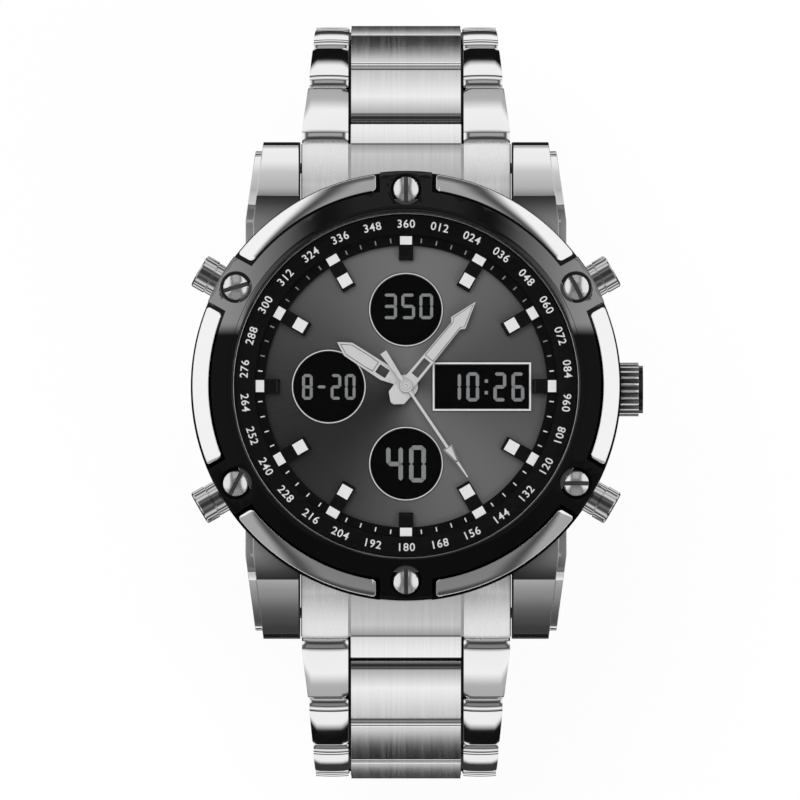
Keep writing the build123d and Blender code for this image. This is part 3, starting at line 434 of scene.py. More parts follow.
def makeDialFinish():
    # Fine rays of grain spread from the centre, with soft fans of painted light laid over them, as a sunray dial
    # throws them.
    material, tree, surface = newMaterial("dialRaysAndPaintedLight", Specular_IOR_Level=0.2, Roughness=0.5)
    x, y, z = splitAxes(tree, placeOf(tree))
    angle = mathNode(tree, "ARCTAN2", y, x)
    inputs = {"W": angle, "Scale": dialLight["rayScale"], "Detail": 2.0}
    rays = addNode(tree, "ShaderNodeTexNoise", inputs, noise_dimensions="1D").outputs[0]
    level = product(tree, mathNode(tree, "SUBTRACT", rays, 0.5), dialLight["grain"])
    level = mathNode(tree, "ADD", level, dialLight["middle"])
    for beams, turn, strength in dialLight["paintedLightFans"]:
        wave = product(tree, mathNode(tree, "SUBTRACT", angle, radians(turn)), beams)
        level = mathNode(tree, "ADD", level, product(tree, mathNode(tree, "COSINE", wave), strength))
    wire(tree, surface, Base_Color=mixColour(tree, level, dialLight["dark"], dialLight["light"]),
         Normal=bumpOf(tree, rays, dialLight["bump"]))
    return material


bezelPaintedSheen = {
    "rise": (0.0055, 0.0072), "reach": (0.009, 0.022),  # m along Y and X
    "centre": 0.125, "weak": 0.01, "rough": (0.06, 0.12),
}


def makeBezelFinish():
    # Black gloss with a painted sheen: its coat is stronger on the half towards 12, most of all at its sides.
    material, tree, surface = newMaterial("bezelGlossPaintedSheen", Base_Color=(0.003, 0.003, 0.003),
                                          Specular_IOR_Level=0.02, Coat_Roughness=0.05, Coat_IOR=3.0)
    x, y, z = splitAxes(tree, placeOf(tree))
    upper = smoothStep(tree, y, bezelPaintedSheen["rise"])
    across = smoothStep(tree, mathNode(tree, "ABSOLUTE", x), bezelPaintedSheen["reach"], (bezelPaintedSheen["centre"], 1.0))
    weight = mathNode(tree, "MAXIMUM", product(tree, upper, across), bezelPaintedSheen["weak"])
    uneven = spread(tree, useMarks(tree, coating["marks"]), *bezelPaintedSheen["rough"])
    wire(tree, surface, Coat_Weight=weight, Roughness=uneven)
    return material


crystalSheen = {"blend": 0.35, "cover": (0.02, 0.5)}


def makeCrystalFinish():
    # Nearly clear straight on, with a stronger sheen towards grazing angles.
    material, tree, surface = newMaterial("crystalClear", Base_Color=(0.02, 0.02, 0.022), Roughness=0.02)
    facing = addNode(tree, "ShaderNodeLayerWeight", {"Blend": crystalSheen["blend"]})
    cover = rangeNode(tree, facing.outputs["Facing"], (0.0, 1.0), crystalSheen["cover"])
    wire(tree, surface, Alpha=cover)
    return material


polishedSteel = polished("polishedSteel", (0.90, 0.90, 0.91), 0.05)
handSteel = coated("handSteel", (0.80, 0.80, 0.805), 0.3, Metallic=0.25)
pusherSteel = polished("pusherSteel", (0.62, 0.62, 0.63), 0.05)
frameSteel = coated("frameSteel", (0.90, 0.90, 0.90), 0.3, Metallic=0.1)
# Painted shade on the window frames' eased edges.
paintedFrameEdgeShade = coated("paintedFrameEdgeShade", (0.06, 0.06, 0.06), 0.3)
# Steel painted near black as a dark reflection, on the lug tips and round the crown's end.
paintedDarkReflection = polished("paintedDarkReflection", (0.025, 0.025, 0.025), 0.2)
# Painted shade in the grooves between the rows and between the lugs and the links.
paintedGapShade = coated("paintedGapShade", (0.012, 0.012, 0.012), 0.5, Specular_IOR_Level=0.2)
screwSteel = coated("screwSteel", (0.80, 0.80, 0.81), 0.13, Metallic=0.88)
crownSteel = coated("crownSteel", (0.78, 0.78, 0.79), 0.16, Metallic=0.6)
# Painted shade in the screw slots and the crown's flutes.
paintedSlotShade = polished("paintedSlotShade", (0.16, 0.16, 0.165), 0.35)
# Painted reflection on the lugs' flats and lower slopes, darker further from the middle.
lugFlatPaintedReflection = paintedReflectionSteel("lugFlatPaintedReflection", [(16.5, 0.55), (19.0, 0.36), (21.0, 0.10), (21.7, 0.05)], 0.5)
lugLowerPaintedReflection = paintedReflectionSteel("lugLowerPaintedReflection", [(21.8, 0.42), (23.0, 0.30), (26.0, 0.14), (27.8, 0.10)], 1.0)
endSatin = brushed("endSatin", (0.86, 0.86, 0.865), 0.05, "UV", 30.0, rough=0.25, bump=0.04, metallic=0.6)
linkBrushed, nearBrushedPaintedShade, endBrushedPaintedShade = (
    brushed(name, (0.99, 0.99, 0.99), 0.12, "UV", 30.0, rough=0.12)
    for name in ("linkBrushed", "nearBrushedPaintedShade", "endBrushedPaintedShade")
)
# Painted shade: the first links are darker at their end by the case, and the end links have a dark line by the
# first link.
paintedShadeAlong(nearBrushedPaintedShade, [(0.6, 0.35), (1.8, 0.35), (3.2, 0.6), (5.0, 1.0)])
paintedShadeAlong(endBrushedPaintedShade, [(-7.8, 0.9), (-3.2, 0.95), (-1.95, 0.5), (-1.85, 0.2), (-1.7, 0.2), (-1.62, 1.0),
                        (1.3, 1.0)])
caseBrushed = brushed("caseBrushed", (0.88, 0.88, 0.89), 0.06, "Object", 5000.0, rough=0.2, bump=0.02)
plateBrushed = brushed("plateBrushed", (0.74, 0.74, 0.75), 0.2, "Object", 6000.0)
bladeBrushed = brushed("bladeBrushed", (0.66, 0.66, 0.67), 0.2, "Object", 5000.0)
markerBlack = coated("markerBlack", (0.006, 0.006, 0.006), 0.12, Specular_IOR_Level=0.3)
# Black satin of the chapter ring; in the links' grooves it is painted shade.
blackSatinAndGrooveShade = coated("blackSatinAndGrooveShade", (0.003, 0.003, 0.003), 0.35, Specular_IOR_Level=0.12)
lumeWhite = coated("lumeWhite", (0.88, 0.89, 0.88), 0.6)
handLume = coated("handLume", (0.66, 0.67, 0.66), 0.6)
# Painted shade round the hands' inlays and in the centre cap's hole, groove and edge.
paintedInlayShade = coated("paintedInlayShade", (0.06, 0.06, 0.06), 0.5)
printWhite = coated("printWhite", (0.85, 0.85, 0.85), 0.6)
# Grey of the ticks towards 12; the others are white.
upperTickGrey = coated("upperTickGrey", (0.30, 0.30, 0.30), 0.6)
displayBlack = coated("displayBlack", (0.002, 0.002, 0.002), 0.2, Specular_IOR_Level=0.1)
displayGrey = coated("displayGrey", (0.24, 0.25, 0.255), 0.4)
rubberBlack = coated("rubberBlack", (0.02, 0.02, 0.02), 0.7)
mouldedBlack = coated("mouldedBlack", (0.03, 0.03, 0.032), 0.5)
boardGreen = coated("boardGreen", (0.03, 0.16, 0.07), 0.35)
brassPlain = polished("brassPlain", (0.72, 0.53, 0.22), 0.3)
cellSteel = polished("cellSteel", (0.7, 0.7, 0.69), 0.25)
dialRaysAndPaintedLight = makeDialFinish()
bezelGlossPaintedSheen = makeBezelFinish()
crystalClear = makeCrystalFinish()
print("finishes made")


# Copies of the frame's solids, merged, with their edges eased

merging = {
    "doubles": 0.002, "spunDoubles": 0.0005, "onCut": 0.0005, "onRowCut": 0.0001, "onRim": 0.03,  # mm
    "flat": 0.08,  # degrees between faces that count as one
    "leastShare": 0.4,  # of a step: no thinner slice is left at the end of parallel cuts
}
# Parts of a face's normal along an axis.
looking = {"mostly": 0.5, "square": 0.9}
# Width of the eased edges in mm, by node; the other nodes have none.
eases = {
    "case_middle": 0.07, "bezel": 0.07, "bezel_inserts": 0.09, "bezel_screws": 0.05, "crown": 0.07,
    "case_back": 0.1, "case_back_screws": 0.05, "clasp_cover": 0.1, "clasp_blade_outer": 0.08,
    "clasp_blade_inner": 0.08, "clasp_button_right": 0.1, "clasp_button_left": 0.1,
    "chapter_ring": 0.06, "hour_markers": 0.06, "window_frames": 0.08,
    "hour_hand": 0.04, "minute_hand": 0.04, "second_hand": 0.03,
}


def mergeFlats(bm):
    bmesh.ops.dissolve_limit(bm, angle_limit=radians(merging["flat"]), verts=bm.verts, edges=bm.edges)


def copySolid(name):
    bm = bmesh.new()
    bm.from_mesh(nodes[name].data)
    bmesh.ops.remove_doubles(bm, verts=bm.verts, dist=merging["doubles"] * mm)
    mergeFlats(bm)
    return bm


def bodyOf(name):
    for body, members in frame["record"]["behaviour"]["bodies"].items():
        if name in members:
            return body


def slotOf(name):
    for entry in frame["record"]["subparts"]:
        if entry["node"] == name:
            return entry["material_slot"]


def finishPiece(bm, name, body, materials, slot, bevel=0.0, segments=2, sharp=28, clamp=True, edged=-1,
                replaced=()):
    mesh = bpy.data.meshes.new(name)
    bm.to_mesh(mesh)
    bm.free()
    for material in materials:
        mesh.materials.append(material)
    mesh.shade_smooth()
    piece = bpy.data.objects.new(name, mesh)
    bpy.context.scene.collection.objects.link(piece)
    if bevel:
        edge = piece.modifiers.new("easedEdges", "BEVEL")
        edge.width = bevel * mm
        edge.segments = segments
        edge.profile = 0.5
        edge.limit_method = "ANGLE"
        edge.angle_limit = radians(sharp)
        edge.use_clamp_overlap = clamp
        edge.material = edged
        evened = piece.modifiers.new("evenedShading", "WEIGHTED_NORMAL")
        evened.keep_sharp = True
    else:
        mesh.set_sharp_from_angle(angle=radians(sharp))
    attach(piece, body)
    if replaced:
        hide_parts(*replaced)


def finishDressed(bm, name, materials, **settings):
    # A piece that stands for one node takes its body from it.
    finishPiece(bm, name + "_dressed", bodyOf(name), materials, slotOf(name), eases.get(name, 0.0),
                replaced=(name,), **settings)


def dressNode(name, materials, chooser=None, rims=(), **settings):
    # chooser: the material of a face; rims: radii in mm of slight edges that stay sharp.
    bm = copySolid(name)
    for edge in bm.edges:
        radii = [vert.co.xy.length / mm for vert in edge.verts]
        if any(max(abs(radius - rim) for radius in radii) < merging["onRim"] for rim in rims):
            edge.smooth = False
    if chooser:
        for face in bm.faces:
            face.material_index = chooser(face)
    finishDressed(bm, name, materials, **settings)


def bevelEdges(bm, edges, width, segments):
    return bmesh.ops.bevel(bm, geom=edges, offset=width, affect="EDGES", segments=segments, profile=0.5,
                           material=-1)["faces"]


def cutPlane(bm, spot, normal, near, **settings):
    # near: how close to the plane a corner counts as on it.
    return bmesh.ops.bisect_plane(bm, geom=bm.verts[:] + bm.edges[:] + bm.faces[:], dist=near,
                                  plane_co=spot, plane_no=normal, **settings)


def sliceAcross(bm, normal, start, stop, step, unit=1.0):
    # Parallel cuts, so that a flat face can take a curve.
    reach = start + step
    while reach < stop - step * merging["leastShare"]:
        cutPlane(bm, tuple(reach * part * unit for part in normal), normal, merging["onCut"] * unit)
        reach += step


def pushDown(bm, faces, depth):
    # Gives flat faces a depth and returns the corners of their undersides.
    pushed = bmesh.ops.extrude_face_region(bm, geom=faces)["geom"]
    verts = [item for item in pushed if isinstance(item, bmesh.types.BMVert)]
    bmesh.ops.translate(bm, vec=(0, 0, -depth), verts=verts)
    return verts


# Bracelet links: polished outer pieces, a brushed centre row, a groove between them

link = {
    "thickness": 2.6,
    "outerFrom": 6.56,  # mm from the middle to the polished pieces
    "centreTo": 6.24,
    "past": 20,  # past the sides of every link
    "webTop": 0.75,
    "outerDrop": 0.2,
    "outerSideDrop": 0.07,
    "centreDrop": 0.12,
    "centreReach": 2.5,
    "nearDrop": 0.4,
    "nearFrom": 1.0,
    "nearReach": 2.79,
    "slices": 0.5,
    "sideCuts": 5,
    "sideNear": 0.05,
    "cornerRadius": 0.55,
    "cornerFrom": 0.6,
    "cornerLevel": 0.02,
    "cornerAngle": 0.8,
    "cornerSegments": 4,
    "cornerPlay": 0.15,
    "outerBevel": 0.24,
    "centreBevel": 0.13,
}
endLink = {"widest": 11.8, "sideReach": 11.9, "first": -7.8, "last": -1.3, "lean": 30}
linkCount = sum(1 for name in nodes if name.startswith("link_upper_"))
withinBracelet = Vector((0, 0, -0.02))


def linkPlaces(side):
    # The pivots of one side in order, from the case to the clasp.
    places = [Vector(hinges[f"link_{side}_{n}_hinge"]["pos_m"]) for n in range(1, linkCount + 1)]
    end = Vector(hinges["clasp_cover_hinge"]["pos_m"])
    if side == "lower":
        end.y = -end.y
    return places + [end]


def linkFrame(start, end):
    # Columns: along the link, across it to +X, out of its polished face. In mm.
    along = (end - start).normalized()
    across = Vector((1, 0, 0))
    out = along.cross(across) if along.y < 0 else across.cross(along)
    out = out if out.dot(start - withinBracelet) > 0 else -out
    turn = Matrix((along, across, out)).transposed().to_4x4()
    return Matrix.Translation(start) @ turn @ Matrix.Scale(mm, 4)


def keepRow(source, low, high, top=None):
    # The part of a link between two places across it, with its cut faces closed.
    bm = source.copy()
    planes = [((0, low, 0), (0, -1, 0)), ((0, high, 0), (0, 1, 0))]
    if top is not None:
        planes.append(((0, 0, top), (0, 0, 1)))
    for spot, normal in planes:
        cut = cutPlane(bm, spot, normal, merging["onRowCut"], clear_outer=True)
        rim = [item for item in cut["geom_cut"] if isinstance(item, bmesh.types.BMEdge)]
        if rim:
            bmesh.ops.triangle_fill(bm, use_beauty=True, edges=rim)
    bmesh.ops.recalc_face_normals(bm, faces=bm.faces)
    mergeFlats(bm)
    return bm


def roundFarCorners(bm, far):
    corners = []
    for edge in bm.edges:
        first, second = (vert.co for vert in edge.verts)
        level = abs(first.y - second.y) < link["cornerLevel"]
        if level and min(first.x, second.x) > far - link["cornerFrom"] and len(edge.link_faces) == 2:
            if edge.calc_face_angle() > link["cornerAngle"]:
                corners.append(edge)
    if corners:
        bevelEdges(bm, corners, link["cornerRadius"], link["cornerSegments"])


def faceWeight(vert):
    # 1 on the outer face, falling to 0 at half the thickness.
    return max(0.0, min(1.0, 2 * vert.co.z / link["thickness"])) ** 2


def lowerEnds(bm, first, last, drop, low, high, sideDrop):
    # Faces that fall a little to their ends and sides, as hand polishing leaves them.
    for vert in bm.verts:
        share = min(1.0, abs(2 * (vert.co.x - first) / (last - first) - 1))
        sideShare = min(1.0, abs(2 * (vert.co.y - low) / (high - low) - 1))
        vert.co.z -= (drop * share * share + sideDrop * sideShare * sideShare) * faceWeight(vert)


def lowerNear(bm, first):
    # The end next to the case dips a little more.
    for vert in bm.verts:
        share = max(0.0, 1 - (vert.co.x - first - link["nearFrom"]) / link["nearReach"])
        vert.co.z -= link["nearDrop"] * min(1.0, share) ** 2 * faceWeight(vert)


def mapFaces(bm):
    layer = bm.loops.layers.uv.new("faceMap")
    for face in bm.faces:
        for loop in face.loops:
            loop[layer].uv = (loop.vert.co.x * mapScale, loop.vert.co.y * mapScale)


def shapeOuter(bm, ending, first, last, low, high, far):
    if far is not None:
        roundFarCorners(bm, far)
    sliceAcross(bm, (1, 0, 0), first, last, link["slices"])
    sliceAcross(bm, (0, 1, 0), low, high, (high - low) / link["sideCuts"])
    lowerEnds(bm, first, last, link["outerDrop"], low, high, link["outerSideDrop"])
    # Painted shade: a link's sides in the groove and an end link's sides by the lugs are dark.
    for face in bm.faces:
        inside = abs(face.calc_center_median().y) < link["outerFrom"] + link["sideNear"]
        if abs(face.normal.y) > looking["square"] and inside != ending:
            face.material_index = 1


def shapeCentre(bm, ending, first, last, low, high):
    sliceAcross(bm, (1, 0, 0), first, last, link["slices"])
    lowerEnds(bm, first, last, link["centreDrop"], low, high, 0.0)
    if not ending:
        lowerNear(bm, first)


def makeRows(name, place, first, last, sideReach, far=None):
    # Parts a link into its rows; far: where its rounded corners lie along it, in mm.
    ending = name.startswith("end")
    source = copySolid(name)
    bmesh.ops.transform(source, matrix=place.inverted(), verts=source.verts)
    if place.determinant() < 0:
        bmesh.ops.reverse_faces(source, faces=source.faces)
    inner, outer, past = link["centreTo"], link["outerFrom"], link["past"]
    widest = endLink["widest"] if ending else past
    rows = [
        ("web_far_right", widest, past), ("web_far_left", -past, -widest),
        ("right", outer, widest), ("left", -widest, -outer), ("centre", -inner, inner),
        ("web_right", inner, outer), ("web_left", -outer, -inner),
    ]
    for label, low, high in rows:
        web = label.startswith("web")
        bm = keepRow(source, low, high, link["webTop"] if web else None)
        if not bm.faces:
            bm.free()
            continue
        # The webs in the groove are painted shade, black; in the end links between the rows they are a darker
        # brushed steel.
        if web:
            bevel, materials = 0.0, [bladeBrushed if ending and abs(low) < widest else blackSatinAndGrooveShade]
        elif label == "centre":
            shapeCentre(bm, ending, first, last + link["centreReach"], low, high)
            chosen = endBrushedPaintedShade if ending else nearBrushedPaintedShade if name.endswith("_1") else linkBrushed
            bevel, materials = link["centreBevel"], [chosen]
        else:
            shapeOuter(bm, ending, first, last, max(low, -sideReach), min(high, sideReach), far)
            bevel, materials = link["outerBevel"], [endSatin if ending else polishedSteel, paintedGapShade]
        mapFaces(bm)
        bmesh.ops.transform(bm, matrix=place, verts=bm.verts)
        finishPiece(bm, f"{name}_{label}", bodyOf(name), materials, "polished_steel", bevel, replaced=(name,))
    source.free()


def makeLinks():
    nose = link["thickness"] / 2
    for side, sign in (("upper", 1), ("lower", -1)):
        places = linkPlaces(side)
        for n in range(1, linkCount + 1):
            name = f"link_{side}_{n}"
            pitch = (places[n] - places[n - 1]).length / mm
            place = linkFrame(places[n - 1], places[n])
            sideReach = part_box(name)[1].x / mm
            makeRows(name, place, -nose, pitch - nose, sideReach, pitch - nose - link["cornerPlay"])
        lean = radians(endLink["lean"])
        along = Vector((0, sign * cos(lean), -sin(lean)))
        place = linkFrame(places[0], places[0] + along)
        makeRows(f"end_link_{side}", place, endLink["first"], endLink["last"], endLink["sideReach"])
    print("links made:", 2 * linkCount)


makeLinks()


# Head: case, bezel, inserts and screws

lugs = {
    "case": 23.4, "inner": 12.0, "flat": 15.0, "crease": 21.8, "tip": 27.8, "top": 9.4, "fall": 0.59375,
    "flankDrop": 1.0, "flankShift": 0.95, "drop": 0.16, "innerEase": 0.2,
    "cutFromX": 11.5, "cutFromY": 12.0, "flatCuts": 6, "slopeCuts": 8,
    "near": 0.1, "onFace": 0.03, "onSide": 0.01,
    # Parts of the faces' normals along Z.
    "topRise": 0.4, "wallRise": 0.05, "tipRise": 0.05, "flatRise": 0.95, "lowerRise": 0.7, "caseRise": 0.3,
}


def sliceLugs(bm):
    flat, crease, tip = lugs["flat"], lugs["crease"], lugs["tip"]
    cuts = [flat + (crease - flat) * step / lugs["flatCuts"] for step in range(lugs["flatCuts"] + 1)]
    cuts += [crease + (tip - crease) * step / lugs["slopeCuts"] for step in range(1, lugs["slopeCuts"] + 1)]
    for reach in cuts:
        for sign in (1, -1):
            outside = []
            for face in bm.faces:
                middle = face.calc_center_median() / mm
                if middle.y * sign > lugs["cutFromY"] and abs(middle.x) > lugs["cutFromX"]:
                    outside.append(face)
            edges = {edge for face in outside for edge in face.edges}
            verts = {vert for face in outside for vert in face.verts}
            bmesh.ops.bisect_plane(bm, geom=[*verts, *edges, *outside], dist=merging["onCut"] * mm,
                                   plane_co=(0, sign * reach * mm, 0), plane_no=(0, 1, 0))


def dropLugs(bm):
    # The slopes and flats fall a little to both ends, as polishing leaves them.
    flat, crease, tip = lugs["flat"], lugs["crease"], lugs["tip"]
    for vert in bm.verts:
        x, y, z = vert.co / mm
        y = abs(y)
        if abs(x) < lugs["inner"] - lugs["near"] or y < flat:
            continue
        for lift in (0.0, lugs["flankDrop"]):
            line = lugs["top"] - lift - max(0.0, y - crease + lift * lugs["flankShift"]) * lugs["fall"]
            if abs(z - line) < lugs["onFace"]:
                onFlat = y < crease
                share = (y - flat) / (crease - flat) if onFlat else abs(2 * (y - crease) / (tip - crease) - 1)
                if vert.co.y < 0:  # hollow rather than full on the side towards 6
                    share = 0.0 if onFlat else (1 - share * share) ** 0.5
                vert.co.z -= lugs["drop"] * share * share * mm
                break


def easeLugs(bm):
    # Eases the edge along the inside of each lug and returns the new faces.
    inner = []
    for edge in bm.edges:
        onSide = all(abs(abs(vert.co.x) - lugs["inner"] * mm) < lugs["onSide"] * mm for vert in edge.verts)
        pastFlat = all(abs(vert.co.y) > lugs["flat"] * mm for vert in edge.verts)
        if onSide and pastFlat and len(edge.link_faces) == 2:
            rises = [face.normal.z for face in edge.link_faces]
            if max(rises) > lugs["topRise"] and min(abs(rise) for rise in rises) < lugs["wallRise"]:
                inner.append(edge)
    return bevelEdges(bm, inner, lugs["innerEase"] * mm, 1)


def caseFinish(face):
    # By the place of a face and by the way it looks: painted dark reflection on the lug tips, painted shade on the
    # lugs' inner walls, painted reflection on their flats and lower slopes.
    middle = face.calc_center_median() / mm
    x, y = abs(middle.x), abs(middle.y)
    onLug = x > lugs["inner"] - lugs["near"]
    if y > lugs["tip"] - lugs["onSide"] and onLug and face.normal.z > lugs["tipRise"]:
        return paintedDarkReflection
    if y > lugs["flat"] and x < lugs["inner"] + lugs["near"] and abs(face.normal.x) > looking["square"]:
        return paintedGapShade
    if lugs["flat"] < y < lugs["crease"] and onLug and face.normal.z > lugs["flatRise"]:
        return lugFlatPaintedReflection
    if middle.y < -lugs["crease"] and onLug and face.normal.z > lugs["lowerRise"]:
        return lugLowerPaintedReflection
    onSide = all(abs(vert.co.xy.length / mm - lugs["case"]) < lugs["near"] for vert in face.verts)
    return caseBrushed if onSide and abs(face.normal.z) < lugs["caseRise"] else polishedSteel


def dressCase():
    bm = copySolid("case_middle")
    sliceLugs(bm)
    dropLugs(bm)
    eased = easeLugs(bm)
    finishes = [polishedSteel, paintedDarkReflection, paintedGapShade, lugFlatPaintedReflection, lugLowerPaintedReflection, caseBrushed]
    for face in bm.faces:
        face.material_index = finishes.index(caseFinish(face))
    # The eased inside edges of the lugs take the painted shade too.
    for face in eased:
        face.material_index = finishes.index(paintedGapShade)
    finishDressed(bm, "case_middle", finishes, sharp=20, clamp=False)


insert = {
    "count": 6, "first": 90, "inner": 22.36, "outer": 24.2, "outerHeight": 1.8, "sideReach": 3.4,
    "steps": 44, "rows": 2, "corner": 0.4, "cornerHeight": 1.0, "cornerAngle": 50, "cornerSegments": 4,
}


def makeInserts():
    # Each is a grid with a depth, bent round the bezel between two screws.
    low, high = (corner.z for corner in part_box("bezel_inserts"))
    width = insert["outer"] - insert["inner"]
    fall = (high - low - insert["outerHeight"] * mm) / width
    sector = radians(360 / insert["count"])
    bm = bmesh.new()
    for number in range(insert["count"]):
        made = bmesh.ops.create_grid(bm, x_segments=insert["rows"], y_segments=insert["steps"], size=0.5)
        upper = made["verts"]
        faces = {face for vert in upper for face in vert.link_faces}
        for vert in upper + pushDown(bm, list(faces), 1.0):
            out = (vert.co.x + 0.5) * width
            radius = insert["inner"] + out
            side = atan2(insert["sideReach"], (radius * radius - insert["sideReach"] ** 2) ** 0.5)
            start = radians(insert["first"]) + sector * number + side
            angle = start + (sector - 2 * side) * (vert.co.y + 0.5)
            height = low if vert.co.z < 0 else high - fall * out
            vert.co = (radius * cos(angle) * mm, radius * sin(angle) * mm, height)
    bmesh.ops.recalc_face_normals(bm, faces=bm.faces)
    bm.normal_update()
    tall, sharp = insert["cornerHeight"] * mm, radians(insert["cornerAngle"])
    corners = [edge for edge in bm.edges if abs(edge.verts[0].co.z - edge.verts[1].co.z) > tall
               and edge.calc_face_angle() > sharp]
    bevelEdges(bm, corners, insert["corner"] * mm, insert["cornerSegments"])
    finishDressed(bm, "bezel_inserts", [polishedSteel], segments=3)


screws = {
    "count": 6, "first": 30, "radius": 1.425, "place": 22.25,
    "dome": 0.26, "slice": 0.2, "slotDepth": 0.35, "near": 0.01,
}


def makeScrewHeads():
    # The heads are a little domed, which a flat solid doesn't show.
    bm = copySolid("bezel_screws")
    reach = screws["place"] + screws["radius"] + screws["slice"]
    for normal in ((1, 0, 0), (0, 1, 0)):
        sliceAcross(bm, normal, -reach, reach, screws["slice"], mm)
    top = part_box("bezel_screws")[1].z
    apart = 360 / screws["count"]
    for vert in bm.verts:
        if vert.co.z < top - screws["near"] * mm:
            continue
        angle = degrees(atan2(vert.co.y, vert.co.x)) - screws["first"]
        turn = radians(round(angle / apart) * apart + screws["first"])
        centre = Vector((cos(turn), sin(turn))) * screws["place"] * mm
        share = (vert.co.xy - centre).length / (screws["radius"] * mm)
        vert.co.z -= screws["dome"] * share * share * mm
    # Faces low in the slot take the painted shade.
    for face in bm.faces:
        low = max(vert.co.z for vert in face.verts) < top - (screws["slotDepth"] - screws["near"]) * mm
        face.material_index = int(low and face.normal.z > looking["mostly"])
    finishDressed(bm, "bezel_screws", [screwSteel, paintedSlotShade])


def turnedShape(profile, steps=80):
    # A body turned about X from (reach, radius) points in mm.
    bm = bmesh.new()
    verts = [bm.verts.new((reach * mm, 0, radius * mm)) for reach, radius in profile]
    edges = [bm.edges.new(pair) for pair in zip(verts, verts[1:])]
    bmesh.ops.spin(bm, geom=verts + edges, cent=(0, 0, 0), axis=(1, 0, 0), angle=2 * pi, steps=steps,
                   use_merge=True)
    bmesh.ops.remove_doubles(bm, verts=bm.verts, dist=merging["spunDoubles"] * mm)
    bmesh.ops.recalc_face_normals(bm, faces=bm.faces)
    return bm


pusher = {
    "height": 5.6,
    "turns": [30, 150, 210, 330],
    "profile": [
        (20.15, 0), (20.15, 0.8), (23.35, 0.8), (23.35, 1.83), (23.42, 1.88), (25.3, 1.88), (25.36, 1.82),
        (25.44, 1.82), (25.5, 1.97), (26.92, 1.97), (27.04, 1.88), (27.09, 1.75), (27.1, 1.6), (27.1, 0),
    ],
}


def makePushers():
    for number, turn in enumerate(pusher["turns"], 1):
        bm = turnedShape(pusher["profile"])
        place = Matrix.Translation((0, 0, pusher["height"] * mm)) @ Matrix.Rotation(radians(turn), 4, "Z")
        bmesh.ops.transform(bm, matrix=place, verts=bm.verts)
        finishDressed(bm, f"pusher_{number}", [pusherSteel], sharp=12)


crown = {"ringWidth": 0.5, "fluteEnd": 0.55, "fluteRadius": 2.93}
crownBox = [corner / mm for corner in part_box("crown")]
crownHeight = (crownBox[0].z + crownBox[1].z) / 2


def crownFace(face):
    # 1 in the flutes, painted shade; 2 round the outer end, a painted dark reflection.
    x, y, z = face.calc_center_median() / mm
    if abs(face.normal.x) >= looking["mostly"]:
        return 0
    if x > crownBox[1].x - crown["ringWidth"]:
        return 2
    radius = (y * y + (z - crownHeight) ** 2) ** 0.5
    return int(x < crownBox[1].x - crown["fluteEnd"] and radius < crown["fluteRadius"])


caseBack = {"rims": (15.0, 19.0), "plateBelow": 0.1, "plateRise": -0.995}


def caseBackFace(face):
    # 1 on the flat plate, whose border slopes.
    low = face.calc_center_median().z < caseBack["plateBelow"] * mm
    return int(low and face.normal.z < caseBack["plateRise"])


dressCase()
dressNode("bezel", [bezelGlossPaintedSheen])
makeInserts()
makeScrewHeads()
makePushers()
dressNode("crown", [crownSteel, paintedSlotShade, paintedDarkReflection], crownFace)
dressNode("case_back", [polishedSteel, plateBrushed], caseBackFace, caseBack["rims"])
for name, finish in (
    ("case_back_screws", plateBrushed), ("clasp_cover", plateBrushed),
    ("clasp_blade_outer", bladeBrushed), ("clasp_blade_inner", bladeBrushed),
    ("clasp_button_right", polishedSteel), ("clasp_button_left", polishedSteel),
    ("crown_tube", bladeBrushed), ("spring_bars", bladeBrushed), ("setting_lever", bladeBrushed),
    ("crown_stem", bladeBrushed), ("clasp_spring_bar", bladeBrushed),
):
    dressNode(name, [finish])
print("head and clasp made")


# Dial side

for name, finish in (("dial", dialRaysAndPaintedLight), ("chapter_ring", blackSatinAndGrooveShade), ("hour_markers", markerBlack),
                     ("marker_lume", lumeWhite)):
    dressNode(name, [finish])
dressNode("window_frames", [frameSteel, paintedFrameEdgeShade], edged=1)
for name, finish in (
    ("display_panel", displayBlack), ("circuit_board", boardGreen), ("movement_holder", mouldedBlack),
    ("hand_movement", brassPlain), ("battery", cellSteel), ("crystal_gasket", rubberBlack),
    ("case_back_gasket", rubberBlack), ("crystal", crystalClear),
    ("hour_hand", handSteel), ("second_hand", handSteel),
):
    dressNode(name, [finish])


def addBar(bm, length, width, height, place):
    # A flat bar in mm, centred on its place: 4x4 matrix in metres.
    size = Matrix.Diagonal((length * mm, width * mm, height * mm, 1))
    return bmesh.ops.create_cube(bm, size=1.0, matrix=place @ size)["verts"]


ringSlope = {"inner": 16.0, "ledge": 0.7, "fall": 0.3, "width": 2.2, "lean": 7.8}
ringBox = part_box("chapter_ring")
ticks = {"length": 0.5, "width": 0.13, "height": 0.05, "setback": 0.35, "greyAbove": 3}


def makeTicks():
    top = ringBox[0].z + (ringSlope["ledge"] + ticks["height"] / 2) * mm
    out = (ringSlope["inner"] + ticks["setback"] + ticks["length"] / 2) * mm
    bm = bmesh.new()
    for step in range(60):
        if step % 5:  # the hour markers stand at the others
            place = Matrix.Rotation(radians(90 - 6 * step), 4, "Z") @ Matrix.Translation((out, 0, top))
            addBar(bm, ticks["length"], ticks["width"], ticks["height"], place)
    for face in bm.faces:
        face.material_index = 1 if face.calc_center_median().y > ticks["greyAbove"] * mm else 0
    finishPiece(bm, "minute_ticks", "head", [printWhite, upperTickGrey], "lume_white")


numerals = {
    "size": 1.28, "radius": 18.35, "lift": 0.02, "count": 30, "spacing": 1.12, "weight": 0.012,
    "uprightFrom": -0.05,  # the share of the radius towards 12 from which they stand upright
}


